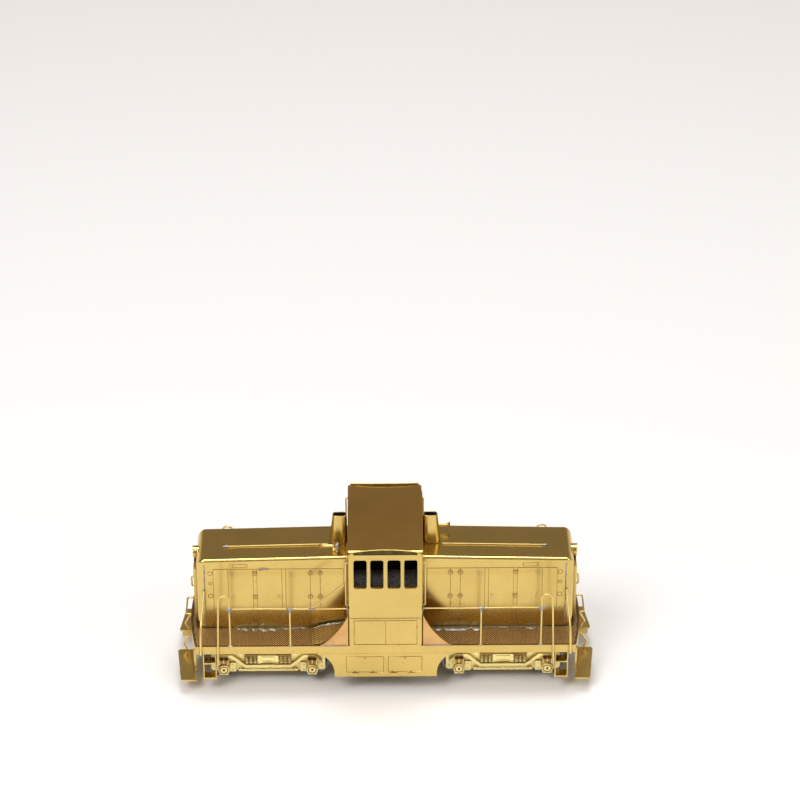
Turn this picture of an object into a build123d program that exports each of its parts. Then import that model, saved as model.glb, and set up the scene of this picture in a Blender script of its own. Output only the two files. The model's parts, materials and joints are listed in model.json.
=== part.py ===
from build123d import *
import math
import os

os.makedirs("parts", exist_ok=True)

# HO scale centre-cab switcher in brass.  Millimetres.  +X is the front end, +Z is up.
# The origin lies under the middle of the cab, on the surface that the wheel flanges stand on.

# Driving dimensions: wheels and trucks
tread_radius = 4.8
flange_depth = 0.7
wheel_back = 7.2
flange_width = 0.7
wheel_width = 2.8
axle_radius = 1.0
journal_radius = 0.8
running_clearance = 0.05
truck_centre = 31.8
wheelbase = 23.9
sideframe_inner = 10.8
sideframe_outer = 12.0
journal_face = 13.3
journal_half_width = 1.25

# Driving dimensions: drive line
gear_module = 0.4
gear_teeth = 15
worm_pitch_radius = 1.8
tooth_half = 0.2
gear_width = 2.0
line_shaft_radius = 0.75
worm_shaft_radius = 0.5
ball_radius = 1.1
cup_outer_radius = 1.8
cup_bore_radius = 1.35
joint_pin_radius = 0.3
joint_slot_width = 0.9

# Driving dimensions: frame
half_width = 17.0
deck_half_length = 51.0
deck_bow = 1.8
deck_top = 15.0
deck_thickness = 1.0
sill_bottom = 12.6
sill_thickness = 0.8
skirt_bottom = 4.9
skirt_half_length = 13.85
skirt_arc_end = 18.1
kingpin_radius = 0.8

# Driving dimensions: body
cab_half_length = 10.0
cab_wall = 0.8
cab_corner = 0.75
roof_corner = 1.4
eave = 44.2
roof_crown = 45.7
window_width = 3.5
window_bottom = 33.5
window_top = 42.5
window_places = (-6.7, -2.27, 2.27, 6.7)
hood_end = 50.6
hood_half_width = 8.05
hood_top_at_cab = 37.6
hood_top_at_end = 36.7
hood_wall = 0.85
groove_width = 0.2
groove_depth = 0.12
wire_radius = 0.25
rail_height = 27.0
post_place = 25.5
inner_leg = 41.6
outer_leg = 44.4
leg_top = 31.3

# Worked out from the driving dimensions
flange_radius = tread_radius + flange_depth
axle_height = flange_radius
gear_radius = gear_module * gear_teeth / 2
tooth_pitch = math.pi * gear_module
shaft_height = axle_height + gear_radius + worm_pitch_radius
outer_axle = truck_centre + wheelbase / 2
inner_axle = truck_centre - wheelbase / 2
deck_bottom = deck_top - deck_thickness
sill_inner = half_width - sill_thickness
rail_side = half_width - wire_radius
sill_face_side = half_width + wire_radius
hood_slope = math.atan((hood_top_at_cab - hood_top_at_end) / (hood_end - cab_half_length))
hood_top_plane = Plane(
    origin=(cab_half_length, 0, hood_top_at_cab),
    x_dir=(math.cos(hood_slope), 0, -math.sin(hood_slope)),
    z_dir=(math.sin(hood_slope), 0, math.cos(hood_slope)),
)


def save(piece, name):
    """Label a finished piece and write it."""
    piece.label = name
    export_step(piece, f"parts/{name}.step")


def save_both_ends(piece, name):
    """Write a piece of the front end and its half-turned copy at the rear end."""
    save(piece, f"{name}_front")
    save(piece.rotate(Axis.Z, 180), f"{name}_rear")


def save_pair(piece, name):
    """Write a piece and its half-turned copy as two solids of one node."""
    save(Compound([*piece.solids(), *piece.rotate(Axis.Z, 180).solids()]), name)


def block(x_span, y_span, z_span, mode=Mode.ADD):
    """A box between two values on each axis, added to the part being built."""
    size = [span[1] - span[0] for span in (x_span, y_span, z_span)]
    middle = [(span[0] + span[1]) / 2 for span in (x_span, y_span, z_span)]
    with Locations(tuple(middle)):
        Box(*size, mode=mode)


def rod(start, end, radius, mode=Mode.ADD):
    """A round bar from one point to another, added to the part being built."""
    direction = Vector(*end) - Vector(*start)
    with Locations(Plane(origin=start, z_dir=direction)):
        Cylinder(radius, direction.length, align=(Align.CENTER, Align.CENTER, Align.MIN), mode=mode)


def bent_wire(points, bend, radius=wire_radius):
    """A wire through the points with round bends, as a finished part."""
    with BuildPart() as wire:
        with BuildLine() as path:
            FilletPolyline(*points, radius=bend)
        with BuildSketch(Plane(origin=path.line @ 0, z_dir=path.line % 0)):
            Circle(radius)
        sweep()
    return wire.part


# The deck's plan: straight sides and bowed ends
near_right = (deck_half_length, -half_width)
far_right = (deck_half_length, half_width)
near_left = (-deck_half_length, -half_width)
far_left = (-deck_half_length, half_width)
with BuildSketch() as deck_plan:
    with BuildLine():
        Line(near_left, near_right)
        ThreePointArc(near_right, (deck_half_length + deck_bow, 0), far_right)
        Line(far_right, far_left)
        ThreePointArc(far_left, (-deck_half_length - deck_bow, 0), near_left)
    make_face()

# Frame: deck plate, sills round its edge, and a pad at each end for the coupler screw
coupler_hole_place = 50.0
coupler_hole_radius = 0.9
coupler_pad_bottom = 13.0
coupler_pad = (48.6, 51.4)
coupler_pad_half_width = 3.0

with BuildPart() as frame_deck:
    with BuildSketch(Plane.XY.offset(deck_bottom)):
        add(deck_plan.sketch)
    extrude(amount=deck_thickness)
    with BuildSketch(Plane.XY.offset(sill_bottom)):
        add(deck_plan.sketch)
        Rectangle(2 * (deck_half_length - sill_thickness), 2 * sill_inner, mode=Mode.SUBTRACT)
    extrude(amount=deck_bottom - sill_bottom)
    for end in (-1, 1):
        pad_span = sorted((end * coupler_pad[0], end * coupler_pad[1]))
        block(pad_span, (-coupler_pad_half_width, coupler_pad_half_width), (coupler_pad_bottom, deck_bottom))
    with Locations((coupler_hole_place, 0, deck_bottom), (-coupler_hole_place, 0, deck_bottom)):
        Cylinder(coupler_hole_radius, 3 * deck_thickness, mode=Mode.SUBTRACT)
    with Locations((truck_centre, 0, deck_bottom), (-truck_centre, 0, deck_bottom)):
        Cylinder(kingpin_radius, 3 * deck_thickness, mode=Mode.SUBTRACT)
save(frame_deck.part, "frame_deck")

# Kingpins: a shouldered screw in each truck's centre
pin_head_radius = 1.6
pin_head_bottom = 12.4
pin_head_top = 12.85
bearing_plate_bottom = 12.9
bearing_plate_top = 13.5

with BuildPart() as kingpin:
    rod((truck_centre, 0, pin_head_top), (truck_centre, 0, deck_top), kingpin_radius)
    rod((truck_centre, 0, pin_head_bottom), (truck_centre, 0, pin_head_top), pin_head_radius)
    washer_bottom = bearing_plate_top + running_clearance
    rod((truck_centre, 0, washer_bottom), (truck_centre, 0, deck_bottom), pin_head_radius)
save_pair(kingpin.part, "kingpins")

# Side skirts under the cab, with two tank doors in each
skirt_doors = ((-10.65, -0.5), (0.6, 9.8))
skirt_door_z = (6.4, 11.6)
skirt_bulge = (0.22, 0.62)

with BuildPart() as side_skirt:
    with BuildSketch(Plane.XZ.offset(half_width)):
        with BuildLine():
            arc_rise = sill_bottom - skirt_bottom
            arc_run = skirt_arc_end - skirt_half_length
            for side in (-1, 1):
                low = (side * skirt_half_length, skirt_bottom)
                middle_x = side * (skirt_half_length + arc_run * skirt_bulge[0])
                middle = (middle_x, skirt_bottom + arc_rise * skirt_bulge[1])
                high = (side * skirt_arc_end, sill_bottom)
                ThreePointArc(low, middle, high)
            Line((-skirt_half_length, skirt_bottom), (skirt_half_length, skirt_bottom))
            Line((-skirt_arc_end, sill_bottom), (skirt_arc_end, sill_bottom))
        make_face()
    extrude(amount=-sill_thickness)
    for door in skirt_doors:
        with BuildSketch(Plane.XZ.offset(half_width)):
            with Locations(((door[0] + door[1]) / 2, sum(skirt_door_z) / 2)):
                width = door[1] - door[0]
                height = skirt_door_z[1] - skirt_door_z[0]
                Rectangle(width, height)
                Rectangle(width - 2 * groove_width, height - 2 * groove_width, mode=Mode.SUBTRACT)
        extrude(amount=-groove_depth, mode=Mode.SUBTRACT)
save_pair(side_skirt.part, "side_skirts")

# Cab: four walls with windows, open at the top and bottom
belt_seam = 24.0
lower_panel = (15.5, 23.2)
lower_panel_half = 8.4
end_window_places = (-12.6, 12.6)
end_window_width = 4.0
hood_window_places = (-4.3, 4.3)
hood_window_width = 4.6
hood_window_bottom = 39.2
window_corner = 0.5

with BuildPart() as cab_body:
    block((-cab_half_length, cab_half_length), (-half_width, half_width), (deck_top, eave))
    fillet(cab_body.edges().filter_by(Axis.Z), cab_corner)
    inner = (cab_half_length - cab_wall, half_width - cab_wall)
    block((-inner[0], inner[0]), (-inner[1], inner[1]), (deck_top, eave), mode=Mode.SUBTRACT)
    with BuildSketch(Plane.XZ.offset(half_width)):
        with Locations(*[(place, (window_bottom + window_top) / 2) for place in window_places]):
            RectangleRounded(window_width, window_top - window_bottom, window_corner)
    extrude(amount=-2 * half_width, mode=Mode.SUBTRACT)
    with BuildSketch(Plane.YZ.offset(cab_half_length)):
        with Locations(*[(place, (window_bottom + window_top) / 2) for place in end_window_places]):
            RectangleRounded(end_window_width, window_top - window_bottom, window_corner)
        with Locations(*[(place, (hood_window_bottom + window_top) / 2) for place in hood_window_places]):
            RectangleRounded(hood_window_width, window_top - hood_window_bottom, window_corner)
    extrude(amount=-2 * cab_half_length, mode=Mode.SUBTRACT)
    for side in (-1, 1):
        face = sorted((side * half_width, side * (half_width - groove_depth)))
        seam = (belt_seam - groove_width / 2, belt_seam + groove_width / 2)
        block((-cab_half_length, cab_half_length), face, seam, mode=Mode.SUBTRACT)
        for place in (-lower_panel_half, 0, lower_panel_half):
            line = (place - groove_width / 2, place + groove_width / 2)
            block(line, face, lower_panel, mode=Mode.SUBTRACT)
        for height in lower_panel:
            line = (height - groove_width / 2, height + groove_width / 2)
            block((-lower_panel_half, lower_panel_half), face, line, mode=Mode.SUBTRACT)
save(cab_body.part, "cab_body")

# Cab roof: a shallow arch across the cab that curves down into the eaves
eave_edge = eave + 0.2
shoulder_top = eave + 0.85
shoulder_run = 1.4
shoulder_bulge = (0.42, 0.6)
with BuildPart() as cab_roof:
    with BuildSketch(Plane.YZ.offset(-cab_half_length)):
        with BuildLine():
            for side in (-1, 1):
                low = (side * half_width, eave_edge)
                middle = (side * (half_width - shoulder_bulge[0]), eave + shoulder_bulge[1])
                high = (side * (half_width - shoulder_run), shoulder_top)
                Line((side * half_width, eave), low)
                ThreePointArc(low, middle, high)
            ThreePointArc(
                (shoulder_run - half_width, shoulder_top),
                (0, roof_crown),
                (half_width - shoulder_run, shoulder_top),
            )
            Line((-half_width, eave), (half_width, eave))
        make_face()
    extrude(amount=2 * cab_half_length)
    with BuildSketch(Plane.XY.offset(eave)):
        RectangleRounded(2 * cab_half_length, 2 * half_width, roof_corner)
    extrude(amount=roof_crown - eave, mode=Mode.INTERSECT)
save(cab_roof.part, "cab_roof")

# Cab doors: a raised leaf beside each hood, on opposite corners
door_leaf = 0.3
door_half_width = 2.9
door_middle = -12.6
door_z = (deck_top + 2.1, eave - 0.8)
with BuildPart() as cab_door:
    leaf_span = (-cab_half_length - door_leaf, -cab_half_length)
    block(leaf_span, (door_middle - door_half_width, door_middle + door_half_width), door_z)
    window_span = (door_middle - end_window_width / 2, door_middle + end_window_width / 2)
    block(leaf_span, window_span, (window_bottom, window_top), mode=Mode.SUBTRACT)
save_pair(cab_door.part, "cab_doors")

# Hoods: a sloping box on each side of the cab, with door seams, hinges and latches
hood_corner = 2.0
hood_nose = 2.2
hood_edge = 0.85
hood_end_wall = 1.2
hood_door_z = (deck_top + 0.6, 34.0)
door_seams = (11.15, 17.45, 20.1, 26.7, 27.7, 34.4, 35.4, 42.1, 46.1)
hinge_seams = (17.45, 20.1, 34.9)
hinge_heights = (32.6, 25.0, 17.6)
latch_places = (11.6, 28.6, 40.8)
latch_z = (24.1, 25.5)
latch_half_width = 0.25
hinge_radius = 0.65
proud = 0.15
lamp_height = 34.3
lamp_radius = 1.8
lamp_root = 49.4

with BuildPart() as hood:
    # the plan, with rounded corners at the end
    with BuildSketch(Plane.XY.offset(deck_top)) as plan:
        with Locations(((cab_half_length + hood_end) / 2, 0)):
            Rectangle(hood_end - cab_half_length, 2 * hood_half_width)
        fillet(plan.vertices().group_by(Axis.X)[-1], hood_corner)
    extrude(amount=hood_top_at_cab - deck_top)
    # the side view, with a sloping top and a rounded nose
    with BuildSketch(Plane.XZ.offset(-hood_half_width)) as side_view:
        with BuildLine():
            Polyline(
                (cab_half_length, deck_top),
                (hood_end, deck_top),
                (hood_end, hood_top_at_end),
                (cab_half_length, hood_top_at_cab),
                close=True,
            )
        make_face()
        fillet(side_view.vertices().group_by(Axis.X)[-1].sort_by(Axis.Y)[-1], hood_nose)
    extrude(amount=2 * hood_half_width, mode=Mode.INTERSECT)
    # the rounded edges along the top, which follow its slope
    top_face = hood.faces().filter_by(GeomType.PLANE).sort_by(Axis.Z)[-1]
    rim = [edge for edge in top_face.edges() if abs(edge.center().Y) > hood_half_width / 2]
    fillet(rim, hood_edge)
    hollow_top = hood_top_at_end - hood_wall
    hollow_side = hood_half_width - hood_wall
    block(
        (cab_half_length, hood_end - hood_end_wall),
        (-hollow_side, hollow_side),
        (deck_top, hollow_top),
        mode=Mode.SUBTRACT,
    )
    rod((lamp_root, 0, lamp_height), (hood_end, 0, lamp_height), lamp_radius, mode=Mode.SUBTRACT)
    for side in (-1, 1):
        groove = sorted((side * hood_half_width, side * (hood_half_width - groove_depth)))
        boss = sorted((side * hood_half_width, side * (hood_half_width + proud)))
        for place in door_seams:
            line = (place - groove_width / 2, place + groove_width / 2)
            block(line, groove, hood_door_z, mode=Mode.SUBTRACT)
        top_line = (hood_door_z[1] - groove_width / 2, hood_door_z[1] + groove_width / 2)
        block((door_seams[0], door_seams[-1]), groove, top_line, mode=Mode.SUBTRACT)
        for place in hinge_seams:
            for height in hinge_heights:
                rod((place, boss[0], height), (place, boss[1], height), hinge_radius)
        for place in latch_places:
            block((place - latch_half_width, place + latch_half_width), boss, latch_z)
save_both_ends(hood.part, "hood")

# Radiator grille on each hood's end: a frame with slats
grille_half_width = 5.4
grille_z = (16.5, 32.5)
grille_depth = 0.9
grille_rim = 0.7
slat_count = 13
slat_thickness = 0.5
grille_back = 0.4

with BuildPart() as radiator_grille:
    block((hood_end, hood_end + grille_depth), (-grille_half_width, grille_half_width), grille_z)
    slat_pitch = (grille_z[1] - grille_z[0] - 2 * grille_rim + slat_thickness) / slat_count
    for index in range(slat_count):
        low = grille_z[0] + grille_rim + index * slat_pitch
        block(
            (hood_end + grille_back, hood_end + grille_depth),
            (-grille_half_width + grille_rim, grille_half_width - grille_rim),
            (low, low + slat_pitch - slat_thickness),
            mode=Mode.SUBTRACT,
        )
save_both_ends(radiator_grille.part, "radiator_grille")

# Headlights: a drum with a recessed lens, high on each hood's end
lamp_front = 51.6
lens_radius = 1.4
lens_back = lamp_front - 0.6
lens_thickness = 0.45
with BuildPart() as headlight:
    rod((lamp_root, 0, lamp_height), (lamp_front, 0, lamp_height), lamp_radius)
    rod((lens_back, 0, lamp_height), (lamp_front, 0, lamp_height), lens_radius, mode=Mode.SUBTRACT)
save_both_ends(headlight.part, "headlight")

with BuildPart() as headlight_lens:
    rod((lens_back, 0, lamp_height), (lens_back + lens_thickness, 0, lamp_height), lens_radius)
save_pair(headlight_lens.part, "headlight_lenses")

# Exhaust stacks beside the cab: an oval that widens to its base
stack_top = 46.2
stack_middle = 12.15
stack_base_middle = 12.6
stack_top_size = (3.9, 2.4)
stack_bore_size = (3.3, 1.8)
stack_base_size = (5.0, 3.2)
stack_bore_depth = 6.0
with BuildPart() as exhaust_stack:
    with BuildSketch(Plane.XY.offset(stack_top)):
        with Locations((stack_middle, 0)):
            SlotOverall(*stack_top_size)
    with BuildSketch(Plane.XY.offset(hood_top_at_end)):
        with Locations((stack_base_middle, 0)):
            SlotOverall(*stack_base_size)
    loft()
    split(bisect_by=hood_top_plane, keep=Keep.TOP)
    with BuildSketch(Plane.XY.offset(stack_top)):
        with Locations((stack_middle, 0)):
            SlotOverall(*stack_bore_size)
    extrude(amount=-stack_bore_depth, mode=Mode.SUBTRACT)
save_both_ends(exhaust_stack.part, "exhaust_stack")

# Horns: a flared bell on a round mount, off centre on each hood
horn_side = 5.0
horn_height = 39.3
horn_mouth = 17.6
horn_root = 13.0
horn_neck = (horn_root, horn_height + 0.3)
horn_throat = (horn_mouth - 1.6, horn_height + 0.38)
horn_flare = (horn_mouth - 0.5, horn_height + 0.58)
horn_rim = (horn_mouth, horn_height + 0.95)
horn_ball_radius = 0.85
horn_stem_radius = 0.45
with BuildPart() as horn:
    with BuildSketch(Plane.XZ.offset(-horn_side)):
        with BuildLine():
            Polyline((horn_root, horn_height), horn_neck, horn_throat)
            ThreePointArc(horn_throat, horn_flare, horn_rim)
            Polyline(horn_rim, (horn_mouth, horn_height), (horn_root, horn_height))
        make_face()
    revolve(axis=Axis((0, horn_side, horn_height), (1, 0, 0)))
    with Locations((horn_root, horn_side, horn_height)):
        Sphere(horn_ball_radius)
    rod((horn_root, horn_side, hood_top_at_end), (horn_root, horn_side, horn_height), horn_stem_radius)
    split(bisect_by=hood_top_plane, keep=Keep.TOP)
save_both_ends(horn.part, "horn")

# Conduits: a low strip along each hood's top
conduit_side = -1.6
conduit_span = (15.4, 43.0)
conduit_width = 0.45
conduit_height = 0.35
with BuildPart() as conduit:
    with BuildSketch(hood_top_plane):
        with Locations((sum(conduit_span) / 2 - cab_half_length, conduit_side)):
            Rectangle(conduit_span[1] - conduit_span[0], conduit_width)
    extrude(amount=conduit_height)
    mirror(about=Plane.YZ)
save(conduit.part, "conduits")

# Side handrails: a straight rail, a post, and a taller hoop beside the steps
with BuildPart() as side_handrails:
    rod((cab_half_length, -rail_side, rail_height), (inner_leg, -rail_side, rail_height), wire_radius)
    mirror(about=Plane.XZ)
    mirror(about=Plane.YZ)
save(side_handrails.part, "side_handrails")

with BuildPart() as handrail_posts:
    rod((post_place, -rail_side, deck_top), (post_place, -rail_side, rail_height), wire_radius)
    mirror(about=Plane.XZ)
    mirror(about=Plane.YZ)
save(handrail_posts.part, "handrail_posts")

hoop_bend = 1.3
hoop_foot = (45.1, -sill_face_side, 9.0)
with BuildPart() as step_hoops:
    add(
        bent_wire(
            (
                (inner_leg, -rail_side, deck_top),
                (inner_leg, -rail_side, leg_top),
                (outer_leg, -sill_face_side, leg_top),
                hoop_foot,
            ),
            hoop_bend,
        )
    )
    mirror(about=Plane.XZ)
    mirror(about=Plane.YZ)
save(step_hoops.part, "step_hoops")

# Corner rails: up the face of the sill at each corner, and in to the hood's end corner
corner_rail_side = half_width + 0.3
corner_rail_foot = (49.6, -corner_rail_side, sill_bottom - 0.1)
corner_rail_knee = (49.4, -corner_rail_side, 20.5)
corner_rail_head = (48.7, -hood_half_width - 0.2, 27.0)
corner_rail_bend = 6.0
corner_rail_radius = 0.3
with BuildPart() as corner_rails:
    add(
        bent_wire(
            (corner_rail_foot, corner_rail_knee, corner_rail_head),
            corner_rail_bend,
            corner_rail_radius,
        )
    )
    mirror(about=Plane.XZ)
    mirror(about=Plane.YZ)
save(corner_rails.part, "corner_rails")

# Vertical grab irons on the cab's corners
grab_place = cab_half_length + 0.55
grab_z = (27.6, 41.0)
grab_side = half_width - 1.0
grab_radius = 0.2
grab_bend = 0.3
with BuildPart() as cab_grab_irons:
    add(
        bent_wire(
            (
                (cab_half_length, -grab_side, grab_z[0]),
                (grab_place, -grab_side, grab_z[0]),
                (grab_place, -grab_side, grab_z[1]),
                (cab_half_length, -grab_side, grab_z[1]),
            ),
            grab_bend,
            grab_radius,
        )
    )
    mirror(about=Plane.XZ)
    mirror(about=Plane.YZ)
save(cab_grab_irons.part, "cab_grab_irons")

# Diagonal stair rails, from the top of a side rail to a grab iron beside each cab door
door_rail_foot = (-19.7, -rail_side, rail_height + wire_radius)
door_rail_head = (-11.0, -rail_side + 0.45, 34.4)
with BuildPart() as door_rail:
    rod(door_rail_foot, door_rail_head, wire_radius)
save_pair(door_rail.part, "door_rails")

# Gussets between the deck and the cab's corners, with a hollowed long side
gusset_reach = 7.5
gusset_rise = 9.8
gusset_hollow = (0.42, 0.44)
gusset_thickness = 0.45
with BuildPart() as cab_gussets:
    with BuildSketch(Plane.XZ.offset(half_width)):
        with BuildLine():
            root = (cab_half_length, deck_top)
            tip = (cab_half_length + gusset_reach, deck_top)
            top = (cab_half_length, deck_top + gusset_rise)
            Line(root, tip)
            ThreePointArc(
                tip,
                (
                    cab_half_length + gusset_reach * gusset_hollow[0],
                    deck_top + gusset_rise * gusset_hollow[1],
                ),
                top,
            )
            Line(top, root)
        make_face()
    extrude(amount=-gusset_thickness)
    mirror(about=Plane.XZ)
    mirror(about=Plane.YZ)
save(cab_gussets.part, "cab_gussets")

# Door steps: a ramp from the walkway up to each cab door
ramp_foot = -19.8
ramp_head = -cab_half_length - door_leaf
ramp_bulge = (-15.5, deck_top + 1.35)
ramp_height = 2.0
ramp_sides = (-16.3, -8.3)
with BuildPart() as door_step:
    with BuildSketch(Plane.XZ.offset(-ramp_sides[0])):
        with BuildLine():
            ThreePointArc((ramp_foot, deck_top), ramp_bulge, (ramp_head, deck_top + ramp_height))
            Line((ramp_head, deck_top + ramp_height), (ramp_head, deck_top))
            Line((ramp_head, deck_top), (ramp_foot, deck_top))
        make_face()
    extrude(amount=ramp_sides[0] - ramp_sides[1])
save_pair(door_step.part, "door_steps")

# Corner steps: two treads between side plates, under each corner
step_span = (45.5, 49.1)
step_inner = 14.2
step_bottom = 4.2
tread_heights = (4.4, 9.2)
tread_thickness = 0.5
step_plate = 0.35
with BuildPart() as corner_steps:
    for place in (step_span[0], step_span[1] - step_plate):
        block((place, place + step_plate), (-half_width, -step_inner), (step_bottom, sill_bottom))
    for height in tread_heights:
        block(
            (step_span[0] + step_plate, step_span[1] - step_plate),
            (-half_width, -step_inner),
            (height, height + tread_thickness),
        )
    mirror(about=Plane.XZ)
save_both_ends(corner_steps.part, "corner_steps")

# Pilots: a plate under each end sill, bowed like it, with a gap for the coupler
pilot_root = 50.0
pilot_thickness = 0.6
pilot_half_width = 13.5
pilot_bottom = 3.3
pilot_corner = 1.5
coupler_gap_half = 4.0
coupler_gap_bottom = 7.8
with BuildPart() as pilot:
    with BuildSketch(Plane.YZ.offset(pilot_root)):
        with BuildLine():
            Polyline(
                (-pilot_half_width, sill_bottom),
                (-pilot_half_width, pilot_bottom + pilot_corner),
                (-pilot_half_width + pilot_corner, pilot_bottom),
                (pilot_half_width - pilot_corner, pilot_bottom),
                (pilot_half_width, pilot_bottom + pilot_corner),
                (pilot_half_width, sill_bottom),
                close=True,
            )
        make_face()
    extrude(amount=deck_half_length + deck_bow - pilot_root)
    block(
        (pilot_root, deck_half_length + deck_bow),
        (-coupler_gap_half, coupler_gap_half),
        (coupler_gap_bottom, sill_bottom),
        mode=Mode.SUBTRACT,
    )
    with BuildSketch(Plane.XY.offset(pilot_bottom)):
        add(deck_plan.sketch)
    extrude(amount=sill_bottom - pilot_bottom, mode=Mode.INTERSECT)
    with BuildSketch(Plane.XY.offset(pilot_bottom)):
        with Locations((-pilot_thickness, 0)):
            add(deck_plan.sketch)
    extrude(amount=sill_bottom - pilot_bottom, mode=Mode.SUBTRACT)
save_both_ends(pilot.part, "pilot")

# Footboards: a drooping, swept-back board on each side of the coupler
board_inner = 4.5
board_inner_height = 5.5
board_droop = math.radians(6.4)
board_length = 12.5
board_reach = (56.6, 55.2)
board_thickness = 0.45
board_corner = 0.8
bracket_thickness = 0.4
bracket_bottom = 3.6
with BuildPart() as footboards:
    board_plane = Plane(
        origin=(0, board_inner, board_inner_height),
        x_dir=(1, 0, 0),
        z_dir=(0, math.sin(board_droop), math.cos(board_droop)),
    )
    with BuildSketch(board_plane) as board_sketch:
        with BuildLine():
            Polyline(
                (deck_half_length, 0),
                (board_reach[0], 0),
                (board_reach[1], board_length),
                (deck_half_length, board_length),
                close=True,
            )
        make_face()
        fillet(board_sketch.vertices().sort_by(Axis.X)[-1], board_corner)
    extrude(amount=-board_thickness)
    block(
        (deck_half_length, board_reach[0] - board_corner),
        (board_inner, board_inner + bracket_thickness),
        (bracket_bottom, board_inner_height - board_thickness),
    )
    with BuildSketch():
        add(deck_plan.sketch)
    extrude(amount=deck_bottom, mode=Mode.SUBTRACT)
    mirror(about=Plane.XZ)
save_both_ends(footboards.part, "footboards")

# Uncoupling levers: a bent wire on each side of the coupler
lever_side = -4.9
lever_bend = 0.5
lever_points = (
    (52.7, lever_side, 10.6),
    (53.6, lever_side, 10.1),
    (54.9, lever_side, 7.6),
    (54.0, lever_side, 5.8),
)
with BuildPart() as uncoupling_levers:
    add(bent_wire(lever_points, lever_bend))
    mirror(about=Plane.XZ)
save_both_ends(uncoupling_levers.part, "uncoupling_levers")

# End grab irons: a level loop off each platform's edge and a small upright one on each grille
loop_reach = 54.2
loop_height = 14.4
loop_inner = (52.81, -0.5)
loop_outer = (52.48, 7.5)
loop_bend = 0.8
handle_z = (23.4, 26.4)
handle_root = hood_end + grille_depth
handle_reach = handle_root + 0.9
handle_bend = 0.4
with BuildPart() as end_grab_irons:
    add(
        bent_wire(
            (
                (*loop_inner, loop_height),
                (loop_reach, loop_inner[1], loop_height),
                (loop_reach, loop_outer[1], loop_height),
                (*loop_outer, loop_height),
            ),
            loop_bend,
        )
    )
    add(
        bent_wire(
            (
                (handle_root, 0, handle_z[0]),
                (handle_reach, 0, handle_z[0]),
                (handle_reach, 0, handle_z[1]),
                (handle_root, 0, handle_z[1]),
            ),
            handle_bend,
        )
    )
    mirror(about=Plane.YZ)
save(end_grab_irons.part, "end_grab_irons")

# Cab weight: a block on the cab's floor
weight_height = 2.6
weight_gap = 0.2
weight_half_length = cab_half_length - cab_wall - weight_gap
weight_half_width = half_width - cab_wall - weight_gap
with BuildPart() as cab_weight:
    block(
        (-weight_half_length, weight_half_length),
        (-weight_half_width, weight_half_width),
        (deck_top, deck_top + weight_height),
    )
save(cab_weight.part, "cab_weight")

# Motor: a flat can in a strap under the deck
motor_half_length = 8.0
motor_half_width = 6.0
motor_half_height = 3.5
motor_corner = 2.2
motor_bore_half_length = 7.2
armature_radius = 2.7
armature_half_length = 5.5
motor_bore_radius = armature_radius + 0.2
with BuildPart() as motor_can:
    with BuildSketch(Plane.YZ.offset(-motor_half_length)):
        with Locations((0, shaft_height)):
            RectangleRounded(2 * motor_half_width, 2 * motor_half_height, motor_corner)
    extrude(amount=2 * motor_half_length)
    rod(
        (-motor_bore_half_length, 0, shaft_height),
        (motor_bore_half_length, 0, shaft_height),
        motor_bore_radius,
        mode=Mode.SUBTRACT,
    )
    rod(
        (-motor_half_length, 0, shaft_height),
        (motor_half_length, 0, shaft_height),
        line_shaft_radius + running_clearance,
        mode=Mode.SUBTRACT,
    )
save(motor_can.part, "motor_can")

strap_thickness = 0.6
strap_half_length = 3.0
strap_foot = 3.0
strap_y = (-motor_half_width - strap_thickness, motor_half_width + strap_thickness)
with BuildPart() as motor_strap:
    with BuildSketch(Plane.YZ.offset(-strap_half_length)):
        with Locations((0, shaft_height)):
            RectangleRounded(
                2 * (motor_half_width + strap_thickness),
                2 * (motor_half_height + strap_thickness),
                motor_corner + strap_thickness,
            )
            RectangleRounded(2 * motor_half_width, 2 * motor_half_height, motor_corner, mode=Mode.SUBTRACT)
    extrude(amount=2 * strap_half_length)
    block(
        (-strap_half_length, strap_half_length),
        strap_y,
        (shaft_height, deck_top),
        mode=Mode.SUBTRACT,
    )
    for side in (-1, 1):
        wall = sorted((side * motor_half_width, side * (motor_half_width + strap_thickness)))
        foot = sorted((side * motor_half_width, side * (motor_half_width + strap_foot)))
        block((-strap_half_length, strap_half_length), wall, (shaft_height, deck_bottom))
        block((-strap_half_length, strap_half_length), foot, (deck_bottom - strap_thickness, deck_bottom))
save(motor_strap.part, "motor_strap")

with BuildPart() as motor_armature:
    armature_ends = ((-armature_half_length, 0, shaft_height), (armature_half_length, 0, shaft_height))
    rod(*armature_ends, armature_radius)
    rod(*armature_ends, line_shaft_radius, mode=Mode.SUBTRACT)
save(motor_armature.part, "motor_armature")

# Line shaft: from the motor to a slotted cup on each truck's swivel axis
cup_root = truck_centre - 3.3
cup_mouth = truck_centre + 0.8
cup_floor = truck_centre - 1.6
slot_root = truck_centre - 0.6
slot_half_height = 3.0
shaft_joint = motor_half_length + 1.0
with BuildPart() as motor_shaft:
    rod((-shaft_joint, 0, shaft_height), (shaft_joint, 0, shaft_height), line_shaft_radius)
save(motor_shaft.part, "motor_shaft")

with BuildPart() as driveshaft:
    rod((shaft_joint, 0, shaft_height), (cup_root, 0, shaft_height), line_shaft_radius)
    rod((cup_root, 0, shaft_height), (cup_mouth, 0, shaft_height), cup_outer_radius)
    rod((cup_floor, 0, shaft_height), (cup_mouth, 0, shaft_height), cup_bore_radius, mode=Mode.SUBTRACT)
    block(
        (slot_root, cup_mouth),
        (-joint_slot_width / 2, joint_slot_width / 2),
        (shaft_height - slot_half_height, shaft_height + slot_half_height),
        mode=Mode.SUBTRACT,
    )
save_both_ends(driveshaft.part, "driveshaft")

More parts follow.
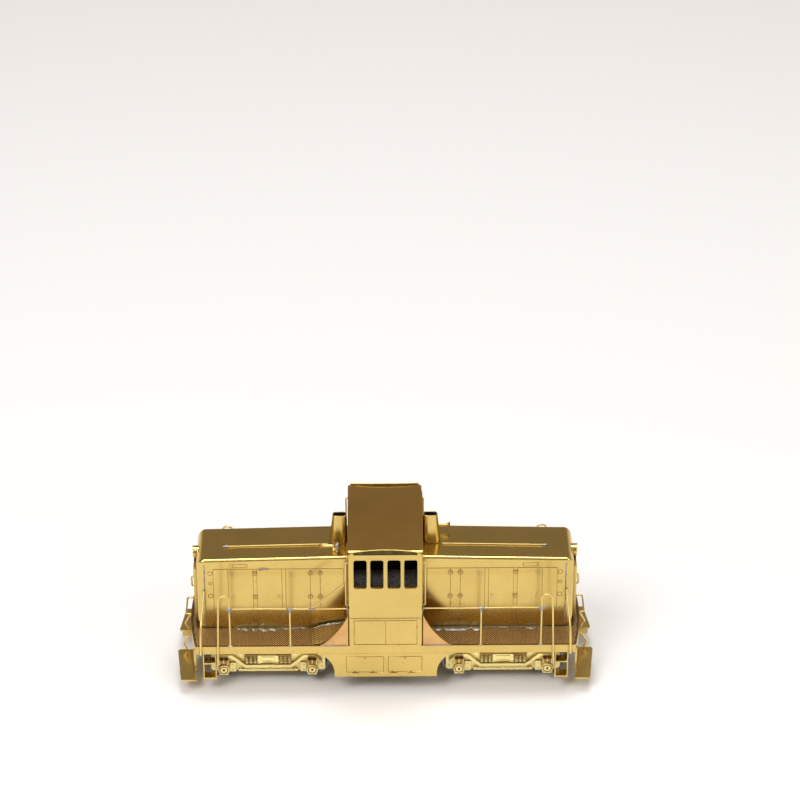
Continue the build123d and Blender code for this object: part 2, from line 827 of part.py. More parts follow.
# Worm shaft: a ball with a cross pin in the cup, and a worm over the outer axle
addendum = gear_module
dedendum = 1.25 * gear_module
pressure_angle = math.radians(20)
flank = math.tan(pressure_angle)
worm_turns = 4
worm_start = outer_axle - worm_turns / 2 * tooth_pitch
worm_end = outer_axle + worm_turns / 2 * tooth_pitch
worm_shaft_end = truck_centre + 17.0
pin_end = cup_outer_radius - 0.15
with BuildPart() as worm_shaft:
    rod((truck_centre, 0, shaft_height), (worm_shaft_end, 0, shaft_height), worm_shaft_radius)
    with Locations((truck_centre, 0, shaft_height)):
        Sphere(ball_radius)
    rod(
        (truck_centre, 0, shaft_height - pin_end),
        (truck_centre, 0, shaft_height + pin_end),
        joint_pin_radius,
    )
save_both_ends(worm_shaft.part, "worm_shaft")

# Worms: a single thread on a sleeve round the worm shaft, lowest over the axle.
# The section across the shaft is a root circle with one lobe, which twists along the shaft.
thread_root = worm_pitch_radius - dedendum
thread_tip = worm_pitch_radius + addendum
lobe_root_turn = 360 * (tooth_half + dedendum * flank) / tooth_pitch
lobe_tip_turn = 360 * (tooth_half - addendum * flank) / tooth_pitch
sleeve_extra = 0.7


def polar(radius, turn):
    """A point at a radius and an angle in degrees."""
    return (radius * math.cos(math.radians(turn)), radius * math.sin(math.radians(turn)))


worm_start_plane = Plane(origin=(worm_start, 0, shaft_height), x_dir=(0, 0, -1), z_dir=(1, 0, 0))
with BuildSketch(worm_start_plane) as worm_section:
    with BuildLine():
        ThreePointArc(
            polar(thread_tip, -lobe_tip_turn),
            polar(thread_tip, 0),
            polar(thread_tip, lobe_tip_turn),
        )
        ThreePointArc(
            polar(thread_root, lobe_root_turn),
            polar(thread_root, 180),
            polar(thread_root, -lobe_root_turn),
        )
        for side in (-1, 1):
            ThreePointArc(
                polar(thread_tip, side * lobe_tip_turn),
                polar((thread_tip + thread_root) / 2, side * (lobe_tip_turn + lobe_root_turn) / 2),
                polar(thread_root, side * lobe_root_turn),
            )
    make_face()

worm_thread = Solid.extrude_linear_with_rotation(
    worm_section.sketch.face(),
    (worm_start, 0, shaft_height),
    Vector(worm_end - worm_start, 0, 0),
    360 * worm_turns,
)
with BuildPart() as worm:
    add(worm_thread)
    rod(
        (worm_start - sleeve_extra, 0, shaft_height),
        (worm_end + sleeve_extra, 0, shaft_height),
        thread_root,
    )
    rod(
        (worm_start - sleeve_extra, 0, shaft_height),
        (worm_end + sleeve_extra, 0, shaft_height),
        worm_shaft_radius,
        mode=Mode.SUBTRACT,
    )
save_both_ends(worm.part, "worm")

# Trucks: a cross frame that hangs from the kingpin and carries the worm shaft's bearings
frame_bar_half = 2.5
cross_bar_z = (6.2, 8.0)
spine_y = (2.6, 3.8)
spine_z = (6.9, 8.0)
post_y = (3.2, 4.4)
bearing_spans = ((7.2, 8.2), (15.4, 16.4))
bearing_top = 12.3
post_half_length = 1.5
with BuildPart() as truck_frame:
    block(
        (truck_centre - frame_bar_half, truck_centre + frame_bar_half),
        (-sideframe_inner, sideframe_inner),
        cross_bar_z,
    )
    block(
        (truck_centre - frame_bar_half, truck_centre + frame_bar_half),
        (-post_y[1], post_y[1]),
        (bearing_plate_bottom, bearing_plate_top),
    )
    for side in (-1, 1):
        post_span = sorted((side * post_y[0], side * post_y[1]))
        post_x = (truck_centre - post_half_length, truck_centre + post_half_length)
        block(post_x, post_span, (cross_bar_z[1], bearing_plate_bottom))
        spine_span = sorted((side * spine_y[0], side * spine_y[1]))
        block((truck_centre, truck_centre + bearing_spans[1][1]), spine_span, spine_z)
    for span in bearing_spans:
        block(
            (truck_centre + span[0], truck_centre + span[1]),
            (-spine_y[1], spine_y[1]),
            (spine_z[0], bearing_top),
        )
    rod(
        (truck_centre + frame_bar_half, 0, shaft_height),
        (truck_centre + bearing_spans[1][1], 0, shaft_height),
        worm_shaft_radius + running_clearance,
        mode=Mode.SUBTRACT,
    )
    rod(
        (truck_centre, 0, bearing_plate_bottom),
        (truck_centre, 0, bearing_plate_top),
        kingpin_radius + running_clearance,
        mode=Mode.SUBTRACT,
    )
save_both_ends(truck_frame.part, "truck_frame")

# Truck sideframes: a plate with journal boxes, an equaliser bar, springs and a centre block
sideframe_half_length = 15.45
sideframe_z = (3.4, 9.6)
upper_corner = 1.6
lower_corner = 0.5
relief = 0.6
equaliser_proud = 0.3
equaliser_half = 0.42
equaliser_line = ((13.4, 7.2), (12.5, 8.4), (9.9, 8.4), (6.2, 5.2))
journal_z = (3.1, 7.8)
journal_bore_depth = 12.75
spring_places = (3.55, 4.65, 5.75)
spring_radius = 0.3
spring_side = -sideframe_outer - 0.1
spring_z = (6.2, 8.85)
spring_cap = (3.0, 6.3)
spring_cap_top = 9.3
foot_x = (8.7, 10.4)
foot_z = (3.3, 6.2)
centre_block = (2.8, -sideframe_outer - 0.5)
centre_block_z = (6.7, 8.85)
tie_half_length = 8.0
tie_z = (3.4, 4.1)
with BuildPart() as truck_sideframes:
    with BuildSketch(Plane.XZ.offset(sideframe_inner)) as plate_sketch:
        with Locations((truck_centre, sum(sideframe_z) / 2)):
            Rectangle(2 * sideframe_half_length, sideframe_z[1] - sideframe_z[0])
        chamfer(plate_sketch.vertices().group_by(Axis.Y)[-1], upper_corner)
        chamfer(plate_sketch.vertices().group_by(Axis.Y)[0], lower_corner)
    extrude(amount=sideframe_outer - relief - sideframe_inner)
    with BuildSketch(Plane.XZ.offset(sideframe_outer - relief)):
        with BuildLine() as bar_line:
            left_half = [(truck_centre - x, z) for x, z in equaliser_line]
            right_half = [(truck_centre + x, z) for x, z in reversed(equaliser_line)]
            Polyline(*left_half, *right_half)
            offset(amount=equaliser_half, side=Side.BOTH, closed=True)
        make_face()
    extrude(amount=relief + equaliser_proud)
    for side in (-1, 1):
        axle_place = truck_centre + side * wheelbase / 2
        block(
            (axle_place - journal_half_width, axle_place + journal_half_width),
            (-journal_face, -sideframe_inner),
            journal_z,
        )
        rod(
            (axle_place, -sideframe_inner, axle_height),
            (axle_place, -journal_bore_depth, axle_height),
            journal_radius + running_clearance,
            mode=Mode.SUBTRACT,
        )
        for place in spring_places:
            spring_place = truck_centre + side * place
            spring_foot = (spring_place, spring_side, spring_z[0])
            spring_head = (spring_place, spring_side, spring_z[1])
            rod(spring_foot, spring_head, spring_radius)
        cap_span = sorted((truck_centre + side * spring_cap[0], truck_centre + side * spring_cap[1]))
        block(cap_span, (-sideframe_outer - relief, -sideframe_inner), (spring_z[1], spring_cap_top))
        foot_span = sorted((truck_centre + side * foot_x[0], truck_centre + side * foot_x[1]))
        block(foot_span, (-sideframe_outer, -sideframe_inner), foot_z)
    centre_span = (truck_centre - centre_block[0], truck_centre + centre_block[0])
    block(centre_span, (centre_block[1], -sideframe_inner), centre_block_z)
    tie_span = (truck_centre - tie_half_length, truck_centre + tie_half_length)
    block(tie_span, (-sideframe_outer, -sideframe_inner), tie_z)
    mirror(about=Plane.XZ)
save_both_ends(truck_sideframes.part, "truck_sideframes")

# Wheelsets: two flanged wheels pressed on each axle
hub_radius = 1.7
web_recess = 0.5
web_slope = 0.2
rim_inner = 3.9
flange_edge = 0.15
tread_taper = 0.06
axle_end = 12.6


def wheel_pair(axle_place):
    """Two wheels on one axle, with flanges inside."""
    with BuildPart() as pair:
        with BuildSketch(Plane.XY.offset(axle_height)):
            with BuildLine():
                Polyline(
                    (axle_place + axle_radius, wheel_back),
                    (axle_place + flange_radius - flange_edge, wheel_back),
                    (axle_place + flange_radius, wheel_back + flange_edge),
                    (axle_place + flange_radius - flange_edge, wheel_back + flange_width - flange_edge),
                    (axle_place + tread_radius, wheel_back + flange_width),
                    (axle_place + tread_radius - tread_taper, wheel_back + wheel_width),
                    (axle_place + rim_inner, wheel_back + wheel_width),
                    (axle_place + rim_inner - web_slope, wheel_back + wheel_width - web_recess),
                    (axle_place + hub_radius + web_slope, wheel_back + wheel_width - web_recess),
                    (axle_place + hub_radius, wheel_back + wheel_width),
                    (axle_place + axle_radius, wheel_back + wheel_width),
                    close=True,
                )
            make_face()
        revolve(axis=Axis((axle_place, 0, axle_height), (0, 1, 0)))
        mirror(about=Plane.XZ)
    return pair.part


def axle(axle_place):
    """An axle with thinner journals at its ends."""
    with BuildPart() as bar:
        rod((axle_place, -wheel_back - wheel_width, axle_height), (axle_place, 0, axle_height), axle_radius)
        rod((axle_place, -axle_end, axle_height), (axle_place, -wheel_back, axle_height), journal_radius)
        mirror(about=Plane.XZ)
    return bar.part


for name, axle_place in (("outer", outer_axle), ("inner", inner_axle)):
    save_both_ends(wheel_pair(axle_place), f"{name}_wheels")
    save_both_ends(axle(axle_place), f"{name}_axle")

# Worm gears: on the outer axle under the worm, with a tooth gap at the top
gear_outer_radius = gear_radius + addendum
gear_root_radius = gear_radius - dedendum
tooth_root = gear_root_radius - 0.1
root_half = tooth_half + dedendum * flank
tip_half = tooth_half - addendum * flank
with BuildPart() as worm_gear:
    with BuildSketch(Plane.XZ.offset(-gear_width / 2)):
        with Locations((outer_axle, axle_height)):
            Circle(gear_root_radius)
            Circle(axle_radius, mode=Mode.SUBTRACT)
            with PolarLocations(0, gear_teeth, start_angle=90 + 180 / gear_teeth):
                Polygon(
                    (tooth_root, -root_half),
                    (gear_outer_radius, -tip_half),
                    (gear_outer_radius, tip_half),
                    (tooth_root, root_half),
                    align=None,
                )
    extrude(amount=gear_width)
save_both_ends(worm_gear.part, "worm_gear")
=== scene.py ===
"""Looks of a bare brass model of a centre-cab diesel switcher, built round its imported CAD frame."""

import json
import math
import random

import bmesh
import bpy
from mathutils import Matrix, Vector, noise
from mathutils.bvhtree import BVHTree


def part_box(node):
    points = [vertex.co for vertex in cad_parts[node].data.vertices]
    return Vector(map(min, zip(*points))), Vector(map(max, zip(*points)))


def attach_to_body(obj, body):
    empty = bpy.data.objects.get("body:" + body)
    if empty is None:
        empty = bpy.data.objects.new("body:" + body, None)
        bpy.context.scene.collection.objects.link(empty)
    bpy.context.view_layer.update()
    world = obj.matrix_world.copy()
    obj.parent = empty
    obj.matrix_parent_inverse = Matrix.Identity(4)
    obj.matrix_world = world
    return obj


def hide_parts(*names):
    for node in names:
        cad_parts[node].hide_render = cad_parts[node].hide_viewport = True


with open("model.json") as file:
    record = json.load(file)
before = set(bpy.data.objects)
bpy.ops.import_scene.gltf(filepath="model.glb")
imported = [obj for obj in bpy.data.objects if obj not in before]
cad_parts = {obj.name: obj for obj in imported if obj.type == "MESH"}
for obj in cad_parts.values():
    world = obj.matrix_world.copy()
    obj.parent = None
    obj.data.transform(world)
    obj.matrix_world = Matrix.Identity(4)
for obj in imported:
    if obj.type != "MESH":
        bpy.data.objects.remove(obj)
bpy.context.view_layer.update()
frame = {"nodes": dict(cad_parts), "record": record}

MM = 0.001
ENDS = {"front": 1, "rear": -1}
SIDES = {"near": -1, "far": 1}
X_AXIS = Vector((1, 0, 0))
Y_AXIS = Vector((0, 1, 0))
Z_AXIS = Vector((0, 0, 1))
SHADE_AND_TARNISH_LEVEL = 0.4  # how bright the painted shade and tarnish in a corner are against the material's darker colour


# ---------------------------------------------------------------- materials

class Nodes:
    """A short way to write a material's node tree."""

    def __init__(self, name):
        self.material = bpy.data.materials.new(name)
        self.material.use_nodes = True
        self.tree = self.material.node_tree
        self.shader = self.tree.nodes["Principled BSDF"]
        self.place = self.tree.nodes.new("ShaderNodeTexCoord").outputs["Object"]

    def link(self, start, end):
        self.tree.links.new(start, end)

    def stretched(self, scale):
        mapping = self.tree.nodes.new("ShaderNodeMapping")
        mapping.inputs["Scale"].default_value = scale
        self.link(self.place, mapping.inputs["Vector"])
        return mapping.outputs["Vector"]

    def noise(self, scale, detail=4.0, rough=0.55, stretch=None):
        node = self.tree.nodes.new("ShaderNodeTexNoise")
        node.inputs["Scale"].default_value = scale
        node.inputs["Detail"].default_value = detail
        node.inputs["Roughness"].default_value = rough
        self.link(self.stretched(stretch) if stretch else self.place, node.inputs["Vector"])
        return node.outputs["Fac"]

    def ramp(self, value, low, high, start=0.0, end=1.0):
        node = self.tree.nodes.new("ShaderNodeMapRange")
        node.inputs["From Min"].default_value = low
        node.inputs["From Max"].default_value = high
        node.inputs["To Min"].default_value = start
        node.inputs["To Max"].default_value = end
        self.link(value, node.inputs["Value"])
        return node.outputs["Result"]

    def math(self, kind, first, second):
        node = self.tree.nodes.new("ShaderNodeMath")
        node.operation = kind
        for socket, value in zip(node.inputs, (first, second)):
            if isinstance(value, (int, float)):
                socket.default_value = value
            else:
                self.link(value, socket)
        return node.outputs["Value"]

    def blend(self, amount, first, second):
        node = self.tree.nodes.new("ShaderNodeMix")
        node.data_type = "RGBA"
        self.link(amount, node.inputs["Factor"])
        for socket, value in ((node.inputs["A"], first), (node.inputs["B"], second)):
            if isinstance(value, tuple):
                socket.default_value = (*value, 1.0)
            else:
                self.link(value, socket)
        return node.outputs["Result"]

    def crevice(self, distance):
        """Near 1 in tight corners and 0 in the open."""
        node = self.tree.nodes.new("ShaderNodeAmbientOcclusion")
        node.inputs["Distance"].default_value = distance
        node.samples = 6
        return self.ramp(node.outputs["AO"], 0.9, 0.35)

    def bump(self, height, distance, strength):
        node = self.tree.nodes.new("ShaderNodeBump")
        node.inputs["Distance"].default_value = distance
        node.inputs["Strength"].default_value = strength
        self.link(height, node.inputs["Height"])
        self.link(node.outputs["Normal"], self.shader.inputs["Normal"])


def brass(name, clean, tarnish, rough=0.24, grain=0.5, stain=0.35,
          grain_stretch=(120, 2600, 2600), corner_shade_and_tarnish=0.75):
    """Bare brass: drifting colour, blotches of tarnish, painted shade with tarnish in corners and a brushed
    grain.
    """
    nodes = Nodes(name)
    shader = nodes.shader
    shader.inputs["Metallic"].default_value = 1.0
    drift = nodes.noise(170, 5.0)
    spots = nodes.noise(900, 3.0)
    blotch = nodes.ramp(nodes.math("ADD", drift, nodes.math("MULTIPLY", spots, 0.35)), 0.62, 0.92)
    corner = nodes.crevice(1.2 * MM)
    pale = tuple(min(1.0, value * 1.06) for value in clean)
    tint = nodes.blend(nodes.ramp(nodes.noise(60, 2.0), 0.35, 0.65), clean, pale)
    stained = nodes.blend(nodes.math("MULTIPLY", blotch, stain), tint, tarnish)
    # Painted shade with tarnish: tight corners, found by ambient occlusion, are darkened towards a dim copy
    # of the tarnish colour.
    shade_and_tarnish = tuple(value * SHADE_AND_TARNISH_LEVEL for value in tarnish)
    shaded_and_tarnished = nodes.blend(nodes.math("MULTIPLY", corner, corner_shade_and_tarnish), stained, shade_and_tarnish)
    nodes.link(shaded_and_tarnished, shader.inputs["Base Color"])
    brushed = nodes.noise(1.0, 3.0, 0.6, grain_stretch)
    uneven = nodes.math("ADD", nodes.math("MULTIPLY", blotch, 0.07), nodes.math("MULTIPLY", brushed, 0.10))
    worn = nodes.math("ADD", nodes.math("MULTIPLY", corner, 0.25), rough - 0.05)
    nodes.link(nodes.math("ADD", uneven, worn), shader.inputs["Roughness"])
    height = nodes.math("ADD", nodes.math("MULTIPLY", brushed, grain), nodes.math("MULTIPLY", drift, 0.8))
    nodes.bump(height, 0.013 * MM, 0.5)
    return nodes.material


def dull_metal(name, colour, dark, rough=0.4, metallic=1.0, lump=0.03, scale=700):
    """Plated, cast or soldered metal with mottled colour and a fine lumpy surface."""
    nodes = Nodes(name)
    shader = nodes.shader
    shader.inputs["Metallic"].default_value = metallic
    mottle = nodes.ramp(nodes.noise(scale, 5.0), 0.35, 0.7)
    corner = nodes.crevice(0.8 * MM)
    tint = nodes.blend(mottle, colour, dark)
    # Painted shade with tarnish: tight corners, found by ambient occlusion, are darkened towards a dim copy
    # of the dark colour.
    shade_and_tarnish = tuple(value * SHADE_AND_TARNISH_LEVEL for value in dark)
    shaded_and_tarnished = nodes.blend(nodes.math("MULTIPLY", corner, 0.7), tint, shade_and_tarnish)
    nodes.link(shaded_and_tarnished, shader.inputs["Base Color"])
    roughness = nodes.math("ADD", nodes.math("MULTIPLY", mottle, 0.2), rough - 0.1)
    nodes.link(roughness, shader.inputs["Roughness"])
    nodes.bump(nodes.noise(scale * 2.5, 4.0), lump * MM, 0.6)
    return nodes.material


SHEET = brass("sheet_brass", (0.68, 0.50, 0.16), (0.50, 0.30, 0.08), rough=0.20, stain=0.14)
ROOF = brass("roof_brass", (0.70, 0.44, 0.12), (0.56, 0.30, 0.07), rough=0.17, stain=0.1)
TREAD = brass("tread_brass", (0.92, 0.70, 0.38), (0.70, 0.46, 0.22), rough=0.34, stain=0.5)
# Painted shade and reflection: the dark brown ground of the walkways between the lozenges.
WALKWAY_SHADE = brass("painted_walkway_shade", (0.21, 0.12, 0.045), (0.11, 0.06, 0.02), rough=0.45, stain=0.5)
WIRE = brass("wire_brass", (0.80, 0.61, 0.22), (0.50, 0.30, 0.08), rough=0.34, grain=0.1,
             stain=0.2, corner_shade_and_tarnish=0.4)
CAST = brass("cast_brass", (0.98, 0.82, 0.36), (0.62, 0.38, 0.10), rough=0.30, grain=1.2,
             grain_stretch=(900, 900, 900), corner_shade_and_tarnish=0.45)
BROWNED = brass("browned_brass", (0.36, 0.20, 0.06), (0.15, 0.07, 0.02), rough=0.40, stain=0.6)
HEATED = brass("heated_brass", (0.70, 0.43, 0.17), (0.54, 0.28, 0.13), rough=0.34, stain=0.6)
FRAME_BRASS = brass("frame_brass", (0.62, 0.42, 0.13), (0.32, 0.17, 0.04), rough=0.34, grain=1.0)
GEAR = brass("gear_brass", (0.74, 0.51, 0.16), (0.42, 0.24, 0.07), rough=0.26, grain=0.8)
SOLDER = dull_metal("solder", (0.47, 0.45, 0.43), (0.25, 0.22, 0.20), rough=0.46, lump=0.05)
# Painted shade: the dark crescent between each roof drip strip and the eave.
EAVE_SHADE = dull_metal("painted_eave_shade", (0.085, 0.060, 0.015), (0.045, 0.030, 0.008),
                      rough=0.6, metallic=0.8)
RED_SOLDER = dull_metal("heated_solder", (0.50, 0.36, 0.30), (0.36, 0.22, 0.15), rough=0.40, lump=0.05)
STEEL = dull_metal("steel_shaft", (0.56, 0.56, 0.58), (0.40, 0.40, 0.42), rough=0.25)
PLATED = dull_metal("plated_steel", (0.55, 0.55, 0.53), (0.38, 0.38, 0.36), rough=0.33)
WHEEL = dull_metal("wheel_nickel", (0.22, 0.22, 0.23), (0.12, 0.12, 0.125), rough=0.36)
CAN = dull_metal("motor_can", (0.34, 0.35, 0.37), (0.22, 0.22, 0.24), rough=0.38)
WINDING = dull_metal("armature", (0.42, 0.16, 0.06), (0.22, 0.08, 0.03), rough=0.35, metallic=0.6)
# Painted shade: near black, used inside the cab, in the exhaust stacks' bores and in the line along each
# hood's foot.
SHADE_BLACK = dull_metal("painted_shade_black", (0.012, 0.011, 0.010), (0.030, 0.026, 0.022), rough=0.55, metallic=0.3)
LEAD = dull_metal("lead", (0.62, 0.62, 0.64), (0.22, 0.21, 0.21), rough=0.6, metallic=0.3, scale=1600)


def glass(name):
    """Clear moulded lens with a slightly uneven surface."""
    nodes = Nodes(name)
    shader = nodes.shader
    shader.inputs["Transmission Weight"].default_value = 1.0
    shader.inputs["IOR"].default_value = 1.49
    tint = nodes.blend(nodes.ramp(nodes.noise(300), 0.3, 0.7), (0.97, 0.98, 1.0), (0.93, 0.95, 0.96))
    nodes.link(tint, shader.inputs["Base Color"])
    nodes.link(nodes.ramp(nodes.noise(2500), 0.3, 0.7, 0.04, 0.10), shader.inputs["Roughness"])
    nodes.bump(nodes.noise(1200), 0.01 * MM, 0.4)
    return nodes.material


LENS = glass("lens_glass")

SLOT_MATERIALS = {
    "sheet_brass": SHEET,
    "wire_brass": WIRE,
    "cast_brass": CAST,
    "frame_brass": FRAME_BRASS,
    "gear_brass": GEAR,
    "lens_glass": LENS,
    "motor_can": CAN,
    "plated_steel": PLATED,
    "armature": WINDING,
    "steel_shaft": STEEL,
    "wheel_nickel": WHEEL,
    "lead_weight": LEAD,
}
NODE_SLOTS = {entry["node"]: entry["material_slot"] for entry in frame["record"]["subparts"]}
NODE_BODIES = {
    node: body
    for body, nodes in frame["record"]["behaviour"]["bodies"].items()
    for node in nodes
}


# ---------------------------------------------------------------- mesh helpers

def new_piece(name, bm, material, smooth_angle=35.0):
    """An object from a bmesh, smooth except at edges sharper than smooth_angle."""
    bmesh.ops.recalc_face_normals(bm, faces=bm.faces)
    mesh = bpy.data.meshes.new(name)
    bm.to_mesh(mesh)
    bm.free()
    for face in mesh.polygons:
        face.use_smooth = True
    mesh.set_sharp_from_angle(angle=math.radians(smooth_angle))
    mesh.materials.append(material)
    piece = bpy.data.objects.new(name, mesh)
    bpy.context.scene.collection.objects.link(piece)
    return piece


def attach(piece, body, slot, *nodes):
    """Ride on a body and stand for any CAD nodes named. The slot is not used."""
    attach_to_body(piece, body)
    if nodes:
        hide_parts(*nodes)
    return piece


def applied(piece):
    """The piece with its modifiers made part of its mesh."""
    bpy.context.view_layer.update()
    graph = bpy.context.evaluated_depsgraph_get()
    mesh = bpy.data.meshes.new_from_object(piece.evaluated_get(graph), depsgraph=graph)
    old = piece.data
    piece.modifiers.clear()
    piece.data = mesh
    bpy.data.meshes.remove(old)
    return piece


HARD_EDGE = math.radians(32)
FLAT_ENOUGH = math.radians(0.6)
SAME_POINT = 0.0005 * MM


def softened(node, width, material=None, paint=None):
    """A copy of a CAD node with its flat faces joined and its hard edges rounded."""
    source = frame["nodes"][node].data.copy()
    marks = source.attributes.get("custom_normal")
    if marks:
        source.attributes.remove(marks)
    bm = bmesh.new()
    bm.from_mesh(source)
    bpy.data.meshes.remove(source)
    bmesh.ops.remove_doubles(bm, verts=bm.verts, dist=SAME_POINT)
    bmesh.ops.dissolve_limit(bm, angle_limit=FLAT_ENOUGH, verts=bm.verts, edges=bm.edges)
    finish = material or SLOT_MATERIALS[NODE_SLOTS[node]]
    piece = new_piece(f"{node}_finished", bm, finish)
    bevel = piece.modifiers.new("rounding", "BEVEL")
    bevel.width = width
    bevel.segments = 2
    bevel.limit_method = "ANGLE"
    bevel.angle_limit = HARD_EDGE
    bevel.use_clamp_overlap = True
    bevel.miter_outer = "MITER_ARC"
    shading = piece.modifiers.new("shading", "WEIGHTED_NORMAL")
    shading.keep_sharp = True
    applied(piece)
    if paint:
        paint(piece)
    return attach(piece, NODE_BODIES[node], NODE_SLOTS[node], node)


def ring(bm, centre, across, upward, radius, sides):
    """New points of bm, on a circle."""
    turns = [2 * math.pi * side / sides for side in range(sides)]
    return [
        bm.verts.new(centre + (across * math.cos(turn) + upward * math.sin(turn)) * radius)
        for turn in turns
    ]


def skin(bm, rings, closed_ends=True):
    """Faces from each ring of points to the next, and over both ends."""
    for first, second in zip(rings, rings[1:]):
        for side, point in enumerate(first):
            after = (side + 1) % len(first)
            bm.faces.new((point, first[after], second[after], second[side]))
    if closed_ends:
        bm.faces.new(list(reversed(rings[0])))
        bm.faces.new(rings[-1])


def tube(bm, points, radius, sides=10):
    """A round wire through the points. radius is a number or one per point."""
    count = len(points)
    radii = radius if isinstance(radius, (list, tuple)) else [radius] * count
    points = [Vector(point) for point in points]
    rings = []
    across = None
    for index, point in enumerate(points):
        ahead = points[min(index + 1, count - 1)] - points[max(index - 1, 0)]
        ahead.normalize()
        if across is None:
            guess = Z_AXIS if abs(ahead.z) < 0.9 else X_AXIS
            across = ahead.cross(guess).normalized()
        across = (across - ahead * across.dot(ahead)).normalized()
        rings.append(ring(bm, point, across, ahead.cross(across), radii[index], sides))
    skin(bm, rings)


def blob(bm, centre, size, seed, rough=0.22, detail=3):
    """A lumpy ball of solder. size is its three half widths in millimetres."""
    made = bmesh.ops.create_icosphere(bm, subdivisions=detail, radius=1.0)
    for vert in made["verts"]:
        lump = 1 + rough * noise.noise(vert.co * 1.7 + Vector((seed * 7.3, seed * 3.1, seed)))
        vert.co = Vector(centre) + vert.co * Vector(size) * MM * lump


def box_faces(bm, corner, opposite):
    """A closed box between two opposite corners."""
    made = bmesh.ops.create_cube(bm, size=1.0)
    corner = Vector(corner)
    reach = Vector(opposite) - corner
    for vert in made["verts"]:
        vert.co = corner + reach * (vert.co + Vector((0.5, 0.5, 0.5)))


def disc(bm, centre, axis, radius, depth, sides, top=0.8):
    """A low round head standing on centre along axis, narrower at its top."""
    axis = Vector(axis).normalized()
    across = axis.orthogonal().normalized()
    upward = axis.cross(across)
    skin(bm, [
        ring(bm, Vector(centre) + axis * depth * height, across, upward, radius * share, sides)
        for share, height in ((1.0, 0.0), (1.0, 0.6), (top, 1.0))
    ])


# ---------------------------------------------------------------- body and frame

ROUNDING = {  # how wide each node's hard edges are rounded, in millimetres
    "frame_deck": 0.10, "side_skirts": 0.08, "cab_body": 0.16, "cab_roof": 0.22, "cab_doors": 0.08,
    "headlight_front": 0.15, "headlight_rear": 0.15, "exhaust_stack_front": 0.12, "exhaust_stack_rear": 0.12,
    "cab_gussets": 0.08, "corner_steps_front": 0.10, "corner_steps_rear": 0.10,
    "pilot_front": 0.12, "pilot_rear": 0.12, "footboards_front": 0.12, "footboards_rear": 0.12,
    "motor_can": 0.25, "motor_strap": 0.12, "kingpins": 0.10, "door_steps": 0.03, "truck_frame_front": 0.15,
    "truck_frame_rear": 0.15, "truck_sideframes_front": 0.10, "truck_sideframes_rear": 0.10,
    "outer_wheels_front": 0.06, "outer_wheels_rear": 0.06,
    "inner_wheels_front": 0.06, "inner_wheels_rear": 0.06,
    "worm_gear_front": 0.03, "worm_gear_rear": 0.03, "conduits": 0.12, "cab_weight": 0.3,
}

cab_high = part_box("cab_body")[1]
hood_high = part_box("hood_front")[1]
deck_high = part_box("frame_deck")[1]
HOOD_SIDE = 8.05 * MM  # from the middle line to the flat side of a hood
CAB_WALL = 0.8 * MM
STACK_BORE_DEPTH = 6.2 * MM
STACK_LIP = 1.0 * MM


def blacken_inside(piece):
    """Painted shade, near black, on the cab's inner faces."""
    piece.data.materials.append(SHADE_BLACK)
    margin = CAB_WALL * 0.75
    for face in piece.data.polygons:
        middle = face.center
        inside_x = abs(middle.x) < cab_high.x - margin
        inside_y = abs(middle.y) < cab_high.y - margin
        if inside_x and inside_y:
            face.material_index = 1


def blacken_bore(piece):
    """Painted shade, near black, on the wall and the floor of an exhaust stack's bore."""
    piece.data.materials.append(SHADE_BLACK)
    places_x = [vert.co.x for vert in piece.data.vertices]
    middle_x = (min(places_x) + max(places_x)) / 2
    top = max(vert.co.z for vert in piece.data.vertices)
    for face in piece.data.polygons:
        outward = Vector((face.center.x - middle_x, face.center.y, 0))
        turned_in = face.normal.dot(outward) < 0 and abs(face.normal.z) < 0.6
        wall = turned_in and face.center.z > top - STACK_BORE_DEPTH
        bottom = face.normal.z > 0.9 and face.center.z < top - STACK_LIP
        if wall or bottom:
            face.material_index = 1


def darken_walkway(piece):
    """Painted shade and reflection: a dark brown ground for the tread plate, on every face that is walked
    on.
    """
    piece.data.materials.append(WALKWAY_SHADE)
    for face in piece.data.polygons:
        if face.normal.z > 0.5 and face.center.z > deck_high.z - 0.05 * MM:
            face.material_index = 1


PAINTS = {"cab_body": blacken_inside, "frame_deck": darken_walkway, "door_steps": darken_walkway,
          "exhaust_stack_front": blacken_bore, "exhaust_stack_rear": blacken_bore}
FINISHES = {"cab_roof": ROOF, "cab_gussets": HEATED, "headlight_lenses": LENS}

for node, width in ROUNDING.items():
    softened(node, width * MM, material=FINISHES.get(node), paint=PAINTS.get(node))
for node, item in frame["nodes"].items():
    if node not in ROUNDING:
        item.data.materials.clear()
        item.data.materials.append(FINISHES.get(node) or SLOT_MATERIALS[NODE_SLOTS[node]])


# ---------------------------------------------------------------- tread plate

def surface(*nodes):
    """A lookup that gives the highest point and the slope of some CAD nodes under a place."""
    bm = bmesh.new()
    for node in nodes:
        bm.from_mesh(frame["nodes"][node].data)
    tree = BVHTree.FromBMesh(bm)
    bm.free()
    return lambda x, y: tree.ray_cast(Vector((x, y, 1.0)), -Z_AXIS)[:2]


LOZENGE_PITCH = (0.70 * MM, 0.90 * MM)
LOZENGE_HALF = (0.23 * MM, 0.30 * MM)
LOZENGE_RISE = 0.15 * MM
LOZENGE_ROOT = 0.01 * MM
LOZENGE_TOP = 0.6  # the width at the top against the width at the foot
PLAIN_EDGE = 0.9 * MM
PLATFORM_BOW = 1.5 * MM
PLATFORM_MARGIN = 0.7 * MM
HOOD_GAP = (0.35 * MM, 0.1 * MM)
CAB_GAP = 0.6 * MM


